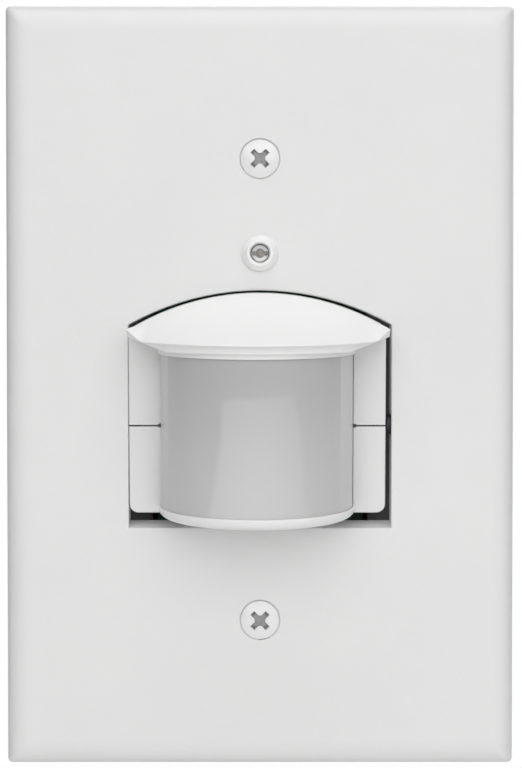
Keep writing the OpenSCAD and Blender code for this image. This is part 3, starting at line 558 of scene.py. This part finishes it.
# Tilt pins and washers
# Blackened steel pins pressed through the plate's side bosses, on which the head turns.
# A black rubber friction washer sits on the left pin and a blackened spring washer on the right.
black_rubber = finish("black_rubber", (0.022, 0.022, 0.022), (0.034, 0.034, 0.033), 0.72, spread=0.14,
                      grain_scale=1800.0, grain=0.25)
pins = rounded_node("pivot_pins", "tilt_pins", dark_steel, 0.12)
rounded_node("friction_washer", "left_washer", black_rubber, 0.04)
rounded_node("spring_washer", "right_washer", dark_steel, 0.06)

# Sensor head, upper shell
# The upper half of the white head: two ears, the arched case behind them and the hood with its hollowed rim.
# One moulding, drawn as case and hood, and closed on the lower shell at the height of the tilt axis.
SEAM = -6.9
SEAT_X = -0.48
TILT_Y = -4.0
LOOK_DOWN = math.radians(3.6)
HEAD = (Matrix.Translation((SEAT_X * MM, TILT_Y * MM, (SEAM + RISE) * MM))
        @ Matrix.Rotation(LOOK_DOWN, 4, "X")
        @ Matrix.Translation((0, -TILT_Y * MM, -SEAM * MM)) @ Matrix.Scale(MM, 4))
MEETING = 0.0005
SHELL_SMOOTH = 28.0
EAR = -6.8
EAR_IN = -5.0
CASE_REAR = -1.6
HALF = 23.15
SEAM_GAP = 0.15
HOOD_TOP = 17.0
CASE_R = 45.55
CASE_Z = HOOD_TOP - CASE_R
CASE_WALL = 1.8
CORNER_CUT = 1.2
ARCH_OFF = 0.4
EAR_ROUND = 0.3
LENS_R = 17.3
LENS_OFF = -0.1
LENS_HIGH = 6.3
LENS_LOW = -21.3
LENS_SLOT = 17.32
RING_R, RING_IN = 17.8, 15.8
GROOVE_OUT, GROOVE_IN = LENS_R + 0.1, 16.3
GROOVE_DEEP = 1.0
COLLAR_TOP = 8.0
DOT_R = 0.33
DOT_IN = 0.3
HOOD_REACH = 19.4
HOOD_SLOPE = math.radians(22.7)
HOOD_EDGE = HOOD_TOP - HOOD_REACH * math.tan(HOOD_SLOPE)
RIM_TALL = 1.65
HOOD_LOW = HOOD_EDGE - RIM_TALL
HOOD_BACK_X = 22.1
HOOD_OFF = 0.2
TIP_X, TIP_OUT = 23.55, 2.6
ROOT_X, ROOT_OUT = 23.0, 1.2
ROOT_DEEP, ROOT_RISE = 0.4, 0.2
PLAN_BACK = 5.506
PLAN_R = HOOD_REACH + PLAN_BACK
HOOD_ROUND = 0.14
LIP_ROUND = 0.2
RIM_HOLLOW = 1.0
HOLLOW_FADE = 18.0
EDGE_CURL = (20.7, 1.8, 1.0)
UNDER_CURL = (17.0, 2.1, 0.85)
PLAN_STEPS, ROOF_STEPS, UNDER_STEPS = 72, 8, 5


def skin(rows):
    """Closed skin over rows of points in mm, one row for each station, each row a closed section"""
    bm = bmesh.new()
    bmesh.ops.create_grid(bm, x_segments=len(rows) - 1, y_segments=len(rows[0]), size=0.5)
    across = sorted({round(v.co.x, 5) for v in bm.verts})
    along = sorted({round(v.co.y, 5) for v in bm.verts})
    for vert in bm.verts:
        row = rows[across.index(round(vert.co.x, 5))]
        vert.co = row[along.index(round(vert.co.y, 5)) % len(row)]
    bmesh.ops.remove_doubles(bm, verts=bm.verts[:], dist=MEETING)
    bmesh.ops.dissolve_degenerate(bm, edges=bm.edges[:], dist=MEETING)
    return closed(bm)


def lerp(a, b, t):
    """Value at the share t between a and b"""
    return a + (b - a) * t


def case_top(e, s):
    """Upper outline of the head shrunk by e: s runs 0 to 1 up the right, 1 to 2 over the arch, 2 to 3 down"""
    x, r = HALF - e, CASE_R - e
    low = SEAM + SEAM_GAP
    if s <= 1:
        return x, lerp(low, CASE_Z - CORNER_CUT + math.sqrt(r * r - (x - ARCH_OFF) ** 2), s)
    if s >= 2:
        return -x, lerp(CASE_Z - CORNER_CUT + math.sqrt(r * r - (x + ARCH_OFF) ** 2), low, s - 2)
    a = lerp(math.asin((x - ARCH_OFF) / r), -math.asin((x + ARCH_OFF) / r), s - 1)
    return ARCH_OFF + r * math.sin(a), CASE_Z + r * math.cos(a)


def seam_dot(z):
    """Width of the round notch that ends the seam at the lens, at the height z"""
    off = abs(z - SEAM)
    return DOT_IN + math.sqrt(DOT_R ** 2 - off ** 2) if off < DOT_R else 0.0


def slot_top(e, s):
    """Lens slot's edge in the upper shell, moved e into the shell, with the dot notch at the seam"""
    x, z = case_top(0, s)
    side = LENS_SLOT + e + seam_dot(z)
    return max(-side, min(side, x)), min(z, LENS_HIGH + e)


def shell_section(outline, slot, s):
    """Section of a shell at a station: rounded ear edge, case wall, ear back, lens slot edge"""
    rows = []
    for a in (90, 60, 30, 0):
        inset = EAR_ROUND * (1 - math.cos(math.radians(a)))
        x, z = outline(inset, s)
        rows.append((x, EAR + EAR_ROUND * (1 - math.sin(math.radians(a))), z))
    for e, y in ((0, CASE_REAR), (CASE_WALL, CASE_REAR), (CASE_WALL, EAR_IN)):
        x, z = outline(e, s)
        rows.append((x, y, z))
    for e, y in ((0, EAR_IN), (0, EAR + 0.1), (0.03, EAR + 0.03), (0.1, EAR)):
        x, z = slot(e, s)
        rows.append((x, y, z))
    return rows


def curl(x, start, rise, power):
    """Rise of one of the hood's edges from a distance off the middle to the side tips"""
    return rise * max(0.0, (abs(x) - start) / (TIP_X - start)) ** power


def rounded(a, corner, b, count):
    """Points of a soft turn from a to b about a corner"""
    return [tuple(lerp(lerp(p, q, t), lerp(q, r, t), t) for p, q, r in zip(a, corner, b))
            for t in (i / count for i in range(count + 1))]


def hood_plan():
    """Stations round the hood's plan, left to right: x, distance in front of the ears, outward normal"""
    widest = math.asin(TIP_X / PLAN_R)
    front = []
    for i in range(PLAN_STEPS + 1):
        a = lerp(-widest, widest, i / PLAN_STEPS)
        front.append((PLAN_R * math.sin(a), PLAN_R * math.cos(a) - PLAN_BACK, math.sin(a), math.cos(a)))
    right = []
    for k, turn in ((0.0, 30.0), (0.0, 10.0), (0.0, -10.0), (0.4, -20.0), (0.9, -12.0), (1.0, 0.0)):
        a = math.radians(turn)
        right.append((lerp(TIP_X, ROOT_X, k), lerp(TIP_OUT, ROOT_OUT, k), math.cos(a), math.sin(a)))
    right.append((ROOT_X, -ROOT_DEEP, 1.0, 0.0))
    left = [(-x, d, -nx, nd) for x, d, nx, nd in reversed(right)]
    return left + front[1:-1] + right


def hood_section(x, d, nx, nd):
    """Closed section of the hood at a station of its plan: roof, crisp lip, hollowed rim face, underside"""
    back = x * HOOD_BACK_X / TIP_X
    root = max(0.0, (TIP_OUT - d) / (TIP_OUT + ROOT_DEEP))
    top = HOOD_EDGE + curl(x, *EDGE_CURL) + ROOT_RISE * root
    low = HOOD_LOW + curl(x, *UNDER_CURL)
    back_z = CASE_Z + math.sqrt(CASE_R ** 2 - (back + HOOD_OFF - ARCH_OFF) ** 2)
    start, corner = (back, EAR + ROOT_DEEP, back_z), (x, EAR - d, top)
    share = HOOD_ROUND / max(HOOD_ROUND * 2, math.dist(start, corner))
    section = [tuple(lerp(p, q, (1 - share) * i / ROOF_STEPS) for p, q in zip(start, corner))
               for i in range(ROOF_STEPS)]
    shoulder = tuple(lerp(q, p, share) for p, q in zip(start, corner))
    section += rounded(shoulder, corner, (x, EAR - d, top - HOOD_ROUND), 3)
    tall = top - low - HOOD_ROUND - LIP_ROUND
    hollow = RIM_HOLLOW * max(0.1, min(1.0, (TIP_X - abs(x)) / (TIP_X - HOLLOW_FADE)))
    for f in (0.2, 0.4, 0.6, 0.8):
        off = hollow * (1 - (1 - f) ** 2)
        section.append((x - nx * off, EAR - d + nd * off, top - HOOD_ROUND - tall * f))
    foot_x, foot_y = x - nx * hollow, EAR - d + nd * hollow
    under_x, under_y = foot_x - nx * LIP_ROUND, foot_y + nd * LIP_ROUND
    section += rounded((foot_x, foot_y, low + LIP_ROUND), (foot_x, foot_y, low), (under_x, under_y, low), 3)
    for i in range(1, UNDER_STEPS + 1):
        px = lerp(under_x, back, i / UNDER_STEPS)
        py = lerp(under_y, EAR + ROOT_DEEP, i / UNDER_STEPS)
        section.append((px, py, HOOD_LOW + curl(px, *UNDER_CURL)))
    return section


def half_spun(points, steps=72, back=0.3):
    """Half ring in front of the ears from a closed section of points (r, z), its ends run back into them"""
    bm, ring = section_ring([(r, EAR, z) for r, z in points])
    bmesh.ops.spin(bm, geom=ring, cent=(0, EAR, 0), axis=(0, 0, 1), angle=-math.pi, steps=steps)
    merge(bm, MEETING)
    rims = [e for e in bm.edges if e.is_boundary]
    pull_rim(bm, rims, [lambda co: Vector((co.x, co.y + back, co.z))])
    return closed(bm)


dot_steps = [(DOT_R - SEAM_GAP) * k for k in (0.0, 0.4, 0.75, 0.99, 1.01)]
side_tall = case_top(0, 1.0)[1] - case_top(0, 0.0)[1]
sides = [step / side_tall for step in dot_steps] + [0.03, 0.3, 0.5, 0.7, 0.73, 0.76, 0.85, 1.0]
arch = [1.0 + i / 48 for i in range(1, 48)]
up_stations = sides + arch + [3.0 - s for s in reversed(sides)]
upper = skin([shell_section(case_top, slot_top, s) for s in up_stations])
upper.transform(HEAD)
add_piece(upper, "hooded_shell", "upper_shell", white_plastic, smooth=SHELL_SMOOTH)
hood = skin([hood_section(*station) for station in hood_plan()])
hood.transform(Matrix.Translation((HOOD_OFF, 0, 0)))
collar = half_spun([(RING_R, COLLAR_TOP), (RING_R, LENS_HIGH + 0.2), (RING_R - 0.06, LENS_HIGH + 0.06),
                    (RING_R - 0.2, LENS_HIGH), (GROOVE_OUT, LENS_HIGH), (GROOVE_OUT, LENS_HIGH + GROOVE_DEEP),
                    (GROOVE_IN, LENS_HIGH + GROOVE_DEEP), (GROOVE_IN, LENS_HIGH), (RING_IN, LENS_HIGH),
                    (RING_IN, COLLAR_TOP)])
join(hood, collar, Matrix.Translation((LENS_OFF, 0, 0)))
hood.transform(HEAD)
# The hood takes the paler copy of the white as painted light, while the ears of the same moulding keep the
# plate's white.
add_piece(hood, "shell_hood", "upper_shell", painted_lit_white, smooth=SHELL_SMOOTH)

# Sensor head, lower shell
# The lower half of the white head: the lower ears, the floor of the case and the rounded lip under the lens.
# One moulding, drawn as case and lip, screwed to the back of the head and closed on the upper shell.
EAR_LOW = -22.75
EAR_CORNER = 1.6
LIP_IN, LIP_TALL = 2.1, 1.8
LIP_STEP = 0.25


def case_low(e, s):
    """Lower outline of the head shrunk by e: 0 to 1 down the right, then corner, floor, corner, left side"""
    r = max(EAR_CORNER - e, 0.3)
    x, z = HALF - e, EAR_LOW + e
    top = SEAM - SEAM_GAP
    if s > 2.5:
        flipped_x, flipped_z = case_low(e, 5.0 - s)
        return -flipped_x, flipped_z
    if s < 1:
        return x, lerp(top, z + r, s)
    if s < 2:
        a = (s - 1) * math.pi / 2
        return x - r + r * math.cos(a), z + r - r * math.sin(a)
    return lerp(x - r, 0.0, (s - 2) * 2), z


def slot_low(e, s):
    """Lens slot's edge in the lower shell, moved e into the shell, with the dot notch at the seam"""
    x, z = case_low(0, s)
    side = LENS_SLOT + e + seam_dot(z)
    return max(-side, min(side, x)), max(z, LENS_LOW - e)


side_tall = case_low(0, 0.0)[1] - case_low(0, 1.0)[1]
down = [step / side_tall for step in dot_steps] + [0.034, 0.3, 0.6, 0.9, 1.0]
down += [1.0 + i / 8 for i in range(1, 9)] + [2.1, 2.2, 2.25, 2.35]
low_stations = down + [2.5] + [5.0 - s for s in reversed(down)]
lower = skin([shell_section(case_low, slot_low, s) for s in low_stations])
lower.transform(HEAD)
add_piece(lower, "lipped_shell", "lower_shell", white_plastic, smooth=SHELL_SMOOTH)
lip_points = [(0.0, LENS_LOW), (GROOVE_IN, LENS_LOW), (GROOVE_IN, LENS_LOW - GROOVE_DEEP),
              (GROOVE_OUT, LENS_LOW - GROOVE_DEEP), (GROOVE_OUT, LENS_LOW), (RING_R - 0.16, LENS_LOW),
              (RING_R - 0.04, LENS_LOW - 0.06)]
for turn in range(0, 91, 15):
    a = math.radians(turn)
    lip_points.append((RING_R - LIP_IN + LIP_IN * math.cos(a), LENS_LOW - LIP_STEP - LIP_TALL * math.sin(a)))
lip_points.append((0.0, LENS_LOW - LIP_STEP - LIP_TALL))
lip = half_spun(lip_points)
lip.transform(HEAD @ Matrix.Translation((LENS_OFF, 0, 0)))
# The lip takes the paler copy of the white as painted light, while the lower ears keep the plate's white.
add_piece(lip, "shell_lip", "lower_shell", painted_lit_white, smooth=SHELL_SMOOTH)

# Lens
# A half-round sheet of smooth milky polyethylene, which lets heat through to the detector.
# Its edges sit in grooves of both shells, and its straight legs and flanges are trapped behind the ears.
LENS_IN = 16.4
LENS_BITE = 0.9
LENS_LEG = 3.5
FLANGE_SIZE = (3.5, 0.8, 20.0)
FLANGE_X, FLANGE_Y, FLANGE_Z = 18.25, -4.5, -6.4
# Painted light on the lens: a glow where the lit chamber shows through, shade towards the top, and lighter
# sides and margins.
CHAMBER_X, CHAMBER_SPREAD, CHAMBER_SLANT = -0.1, 0.13, -0.18
CHAMBER_SIDE, CHAMBER_TOP = (6.8, 4.8), (-0.4, -2.0)
PAINTED_GLOW, PAINTED_GLOW_FADE = 0.12, -0.4
FADE_SPAN, DEPTH_SPAN, SIDE_SPAN = (-2.0, 8.0), (6.0, -20.0), (7.0, 14.5)
SIDE_DEPTH = 0.55
MARGIN_X, MARGIN_SPAN = 1.0, (15.0, 15.4)
PAINTED_TOP, PAINTED_DEPTH, PAINTED_SIDE, PAINTED_MARGIN = 0.92, 0.18, 1.17, 1.22
WANDER, WANDER_SCALE = 4.0, 95.0
lens_polyethylene = finish("lens_polyethylene", (0.515, 0.52, 0.515), (0.495, 0.50, 0.495), 0.30, spread=0.08,
                           cloud_scale=60.0, grain_scale=900.0, grain=0.05)


def ramp(tree, value, span):
    """Smooth step of a place in metres from 0 to 1 over a span in mm"""
    node = tree.nodes.new("ShaderNodeMapRange")
    node.interpolation_type = "SMOOTHSTEP"
    node.inputs["From Min"].default_value = span[0] * MM
    node.inputs["From Max"].default_value = span[1] * MM
    tree.links.new(value, node.inputs["Value"])
    return node.outputs[0]


def scaled(tree, value, factor, add):
    """Value times a factor, plus a number or another value"""
    return math_node(tree, "ADD", math_node(tree, "MULTIPLY", value, factor), add)


def off_line(tree, value, shift):
    """Distance of a place in metres from a line, after a shift in mm"""
    return math_node(tree, "ABSOLUTE", math_node(tree, "ADD", value, shift * MM), 0.0)


def ease(tree, value, goal, factor):
    """Value moved towards a goal by a factor socket"""
    left = math_node(tree, "MULTIPLY", value, math_node(tree, "SUBTRACT", 1.0, factor))
    return math_node(tree, "ADD", left, math_node(tree, "MULTIPLY", goal, factor))


def make_show_through():
    """Painted light and shade on a milky sheet: painted shade towards its top, painted light on its sides and
    margins, and a painted glow where the lit chamber behind shows through
    """
    group, given, made = surface_group("show_through", [("Wander", "NodeSocketFloat")],
                                       [("Painted Light", "NodeSocketFloat")])
    coords = group.nodes.new("ShaderNodeTexCoord").outputs["Object"]
    parts = group.nodes.new("ShaderNodeSeparateXYZ")
    group.links.new(coords, parts.inputs[0])
    x, z = parts.outputs["X"], parts.outputs["Z"]
    wander = math_node(group, "SUBTRACT", noise(group, coords, WANDER_SCALE, detail=1.0), 0.5)
    wander = math_node(group, "MULTIPLY", wander, given.outputs["Wander"])
    across = off_line(group, x, CHAMBER_X)
    spread = scaled(group, z, CHAMBER_SPREAD, across)
    middle = ramp(group, math_node(group, "ADD", spread, wander), CHAMBER_SIDE)
    slant = scaled(group, x, CHAMBER_SLANT, z)
    lower = ramp(group, math_node(group, "ADD", slant, wander), CHAMBER_TOP)
    chamber = math_node(group, "MULTIPLY", math_node(group, "MULTIPLY", middle, lower), PAINTED_GLOW)
    faint = scaled(group, ramp(group, x, FADE_SPAN), PAINTED_GLOW_FADE, 1.0)
    chamber = math_node(group, "MULTIPLY", chamber, faint)
    depth = ramp(group, z, DEPTH_SPAN)
    side = math_node(group, "MULTIPLY", ramp(group, across, SIDE_SPAN),
                     scaled(group, depth, SIDE_DEPTH, 1.0 - SIDE_DEPTH))
    margin = ramp(group, off_line(group, x, MARGIN_X), MARGIN_SPAN)
    pale = ease(group, scaled(group, depth, PAINTED_DEPTH, PAINTED_TOP), PAINTED_SIDE, side)
    pale = math_node(group, "MULTIPLY", pale, math_node(group, "ADD", chamber, 1.0))
    group.links.new(ease(group, pale, PAINTED_MARGIN, margin), made.inputs["Painted Light"])
    return group


# The lens's own colour is multiplied by painted light: glow of the lit chamber, shade at the top, lighter
# sides and margins.
lens_tree = lens_polyethylene.node_tree
lens_shader = lens_tree.nodes["Principled BSDF"]
shown = group_node(lens_tree, make_show_through(), {"Wander": WANDER * MM})
milky = lens_tree.nodes.new("ShaderNodeVectorMath")
milky.operation = "MULTIPLY"
lens_tree.links.new(lens_shader.inputs["Base Color"].links[0].from_socket, milky.inputs[0])
lens_tree.links.new(shown.outputs["Painted Light"], milky.inputs[1])
lens_tree.links.new(milky.outputs[0], lens_shader.inputs["Base Color"])
lens = half_spun([(LENS_IN, LENS_LOW - LENS_BITE), (LENS_R, LENS_LOW - LENS_BITE),
                  (LENS_R, LENS_HIGH + LENS_BITE), (LENS_IN, LENS_HIGH + LENS_BITE)], steps=96, back=LENS_LEG)
for side in (1, -1):
    join(lens, block(FLANGE_SIZE, (side * FLANGE_X, FLANGE_Y, FLANGE_Z), width=0.15))
lens.transform(HEAD @ Matrix.Translation((LENS_OFF, 0, 0)))
add_piece(lens, "half_round_lens", "fresnel_lens", lens_polyethylene)

# Back of the head and what it carries
# A white moulded back with a chamber for the sensor board: detector can, filter, light cell and amplifier.
# Small tapping screws hold the back to the shells and the board to its posts.
board_laminate = finish("board_laminate", (0.018, 0.10, 0.036), (0.025, 0.13, 0.05), 0.34, spread=0.12,
                        cloud_scale=220.0, grain=0.05, worn=(0.30, 0.27, 0.14), wear=2.0)
cell_ceramic = finish("cell_ceramic", (0.36, 0.20, 0.09), (0.30, 0.16, 0.07), 0.42, cloud_scale=700.0,
                      grain=0.06)
ivory_plastic = finish("ivory_plastic", (0.70, 0.66, 0.54), (0.65, 0.61, 0.50), 0.44, grain=0.08)
rounded_node("head_back", "head_back_moulding", painted_lit_white, 0.12)
rounded_node("head_screws", "head_fixings", tinned_steel, 0.06)
rounded_node("sensor_board", "sensor_laminate", board_laminate, 0.06)
rounded_node("pir_can", "detector_can", tinned_steel, 0.12)
rounded_node("pir_filter", "detector_filter", black_plastic, 0.05)
rounded_node("photocell", "light_cell", cell_ceramic, 0.15)
rounded_node("amplifier_chip", "amplifier_package", black_plastic, 0.1)
rounded_node("sensor_header", "sensor_plug", ivory_plastic, 0.06)

# Rear housing
# The dark tub that goes into the wall box, moulded with a thin shield round the opening and a stepped back.
# Four screws through its pillars pull it to the plate.
# The tub's dark grey also paints the shade in the gaps round the head, where its shield sits behind them.
housing_plastic = finish("housing_plastic", (0.040, 0.041, 0.043), (0.055, 0.056, 0.058), 0.50, spread=0.14,
                         grain_scale=1700.0, grain=0.35, worn=(0.13, 0.13, 0.13), wear=3.0)
rounded_node("rear_housing", "housing_tub", housing_plastic, 0.3)
rounded_node("housing_screws", "housing_fixings", tinned_steel, 0.08)

# Main board and its components
# Green laminate on stands in the tub, with the relay, supply parts and timer chip, and a plug for the head's
# lead. All are soldered from the front, the tall ones standing towards the back of the tub.
relay_case = finish("relay_case", (0.03, 0.11, 0.36), (0.025, 0.09, 0.30), 0.33, grain=0.06)
film_case = finish("film_case", (0.58, 0.33, 0.03), (0.52, 0.29, 0.025), 0.36, grain=0.08)
sleeved_can = finish("sleeved_can", (0.020, 0.026, 0.070), (0.028, 0.036, 0.085), 0.30, grain=0.04)
blue_epoxy = finish("blue_epoxy", (0.05, 0.16, 0.34), (0.06, 0.19, 0.38), 0.32, cloud_scale=300.0, grain=0.25,
                    grain_scale=600.0)
rounded_node("main_board", "main_laminate", board_laminate, 0.06)
rounded_node("board_screws", "board_fixings", tinned_steel, 0.06)
rounded_node("relay", "relay_body", relay_case, 0.5, 3)
rounded_node("film_capacitor", "film_block", film_case, 0.6, 3)
rounded_node("electrolytic_capacitor", "supply_can", sleeved_can, 0.4, 3)
rounded_node("varistor", "surge_disc", blue_epoxy, 0.6, 3)
rounded_node("rectifier", "rectifier_block", black_plastic, 0.3)
rounded_node("timer_chip", "timer_package", black_plastic, 0.1)
rounded_node("board_header", "board_plug", ivory_plastic, 0.06)

# Terminals
# Three screw terminals in one block at the bottom of the tub, a dark grey moulding with tinned steel screws.
# They are reached from behind, and the wires enter from below.
terminal_plastic = finish("terminal_plastic", (0.10, 0.115, 0.12), (0.12, 0.135, 0.14), 0.46, grain=0.12)
rounded_node("terminal_block", "terminal_body", terminal_plastic, 0.15)
rounded_node("terminal_screws", "terminal_fixings", tinned_steel, 0.08)

# Trimmers
# Two small rotary trimmers, for time and light level, on the main board. Their white slotted shafts come out
# flush in round dial recesses in the back of the tub, each with a ring of printed ticks.
DIAL_X, DIAL_Z = 9.0, RISE + 19.5
HOUSING_BACK = 34.0
TICK_R = 4.5
TICK_WIDE, TICK_TALL = 0.22, 0.06
TICK_LONG, TICK_SHORT = 1.1, 0.7
TICK_SPAN = 135.0
TICK_GAPS = 10
trimmer_plastic = finish("trimmer_plastic", (0.025, 0.08, 0.28), (0.02, 0.07, 0.24), 0.36, grain=0.08)
knob_plastic = finish("knob_plastic", (0.72, 0.72, 0.69), (0.68, 0.68, 0.65), 0.40, grain=0.08)
rounded_node("trimmer_bodies", "trimmer_cases", trimmer_plastic, 0.25)
rounded_node("time_knob", "time_shaft_slotted", knob_plastic, 0.12)
rounded_node("light_knob", "light_shaft_slotted", knob_plastic, 0.12)
ticks = bmesh.new()
for x in (DIAL_X, -DIAL_X):
    for i in range(TICK_GAPS + 1):
        turn = math.radians(lerp(-TICK_SPAN, TICK_SPAN, i / TICK_GAPS))
        long = TICK_LONG if i % 5 == 0 else TICK_SHORT
        join(ticks, block((TICK_WIDE, TICK_TALL, long), width=0.012, segments=1),
             Matrix.Translation((x, HOUSING_BACK, DIAL_Z)) @ Matrix.Rotation(turn, 4, "Y")
             @ Matrix.Translation((0, 0, TICK_R + long / 2)))
ticks.transform(Matrix.Scale(MM, 4))
ticks = add_piece(ticks, "dial_ticks", "rear_housing", white_paint, replaces=False)

# Studio
# A pale floor below the switch, a bright plain surround, broad soft lights and a camera square to the plate.
# Floor and surround are plain white to the camera, and the surround gives almost no light of its own.
FLOOR_PLACE, FLOOR_SIZE = (0, 0.1, -0.1), (2.4, 1.6)
CAMERA_FAR = 340.0
CAMERA_RISE = math.radians(1.4)
FOCAL = 88.28125
AIM_X, AIM_Z = 0.19, RISE + 0.45
scene = bpy.context.scene
scene.view_settings.view_transform = "Standard"
floor_paint = bpy.data.materials.new("floor_paint")
floor_paint.use_nodes = True
floor_tree = floor_paint.node_tree
floor_shader = floor_tree.nodes["Principled BSDF"]
floor_shader.inputs["Base Color"].default_value = (0.88, 0.88, 0.88, 1.0)
floor_shader.inputs["Roughness"].default_value = 0.8
split_by_ray(floor_tree, "Is Camera Ray", floor_shader, floor_tree.nodes.new("ShaderNodeEmission"))
floor_bm = bmesh.new()
bmesh.ops.create_grid(floor_bm, x_segments=2, y_segments=2, size=0.5,
                      matrix=Matrix.Translation(FLOOR_PLACE) @ Matrix.Diagonal((*FLOOR_SIZE, 1, 1)))
floor_mesh = bpy.data.meshes.new("floor")
floor_bm.to_mesh(floor_mesh)
floor_bm.free()
floor_mesh.materials.append(floor_paint)
floor = bpy.data.objects.new("floor", floor_mesh)
scene.collection.objects.link(floor)

world = bpy.data.worlds.new("studio")
scene.world = world
world.use_nodes = True
air = world.node_tree
ambient, backdrop = air.nodes["Background"], air.nodes.new("ShaderNodeBackground")
for node, strength in ((ambient, 0.01), (backdrop, 1.0)):
    node.inputs["Color"].default_value = (1.0, 1.0, 1.0, 1.0)
    node.inputs["Strength"].default_value = strength
split_by_ray(air, "Is Camera Ray", ambient, backdrop)


def soft_light(name, place, size, power):
    """Large rectangular area light that looks at the switch"""
    lamp_data = bpy.data.lights.new(name, "AREA")
    lamp_data.shape = "RECTANGLE"
    lamp_data.size, lamp_data.size_y = size
    lamp_data.energy = power
    made = bpy.data.objects.new(name, lamp_data)
    made.location = place
    made.rotation_euler = (Vector((0, 0, 0)) - Vector(place)).to_track_quat("-Z", "Y").to_euler()
    scene.collection.objects.link(made)


soft_light("key_front", (0.0, -0.95, 0.50), (1.8, 1.0), 11.0)
soft_light("top_soft", (0.0, -0.15, 1.1), (1.0, 0.6), 5.0)
soft_light("fill_right", (1.1, -0.7, 0.2), (0.8, 0.8), 1.2)
soft_light("rear_soft", (0.3, 1.1, 0.5), (1.2, 0.9), 9.0)

camera_data = bpy.data.cameras.new("camera")
camera_data.sensor_width = 36.0
camera_data.lens = FOCAL
camera = bpy.data.objects.new("camera", camera_data)
target = Vector((AIM_X * MM, FRONT * MM, AIM_Z * MM))
camera.location = target + Vector((0, -math.cos(CAMERA_RISE), math.sin(CAMERA_RISE))) * CAMERA_FAR * MM
camera.rotation_euler = (target - camera.location).to_track_quat("-Z", "Y").to_euler()
scene.collection.objects.link(camera)
scene.camera = camera
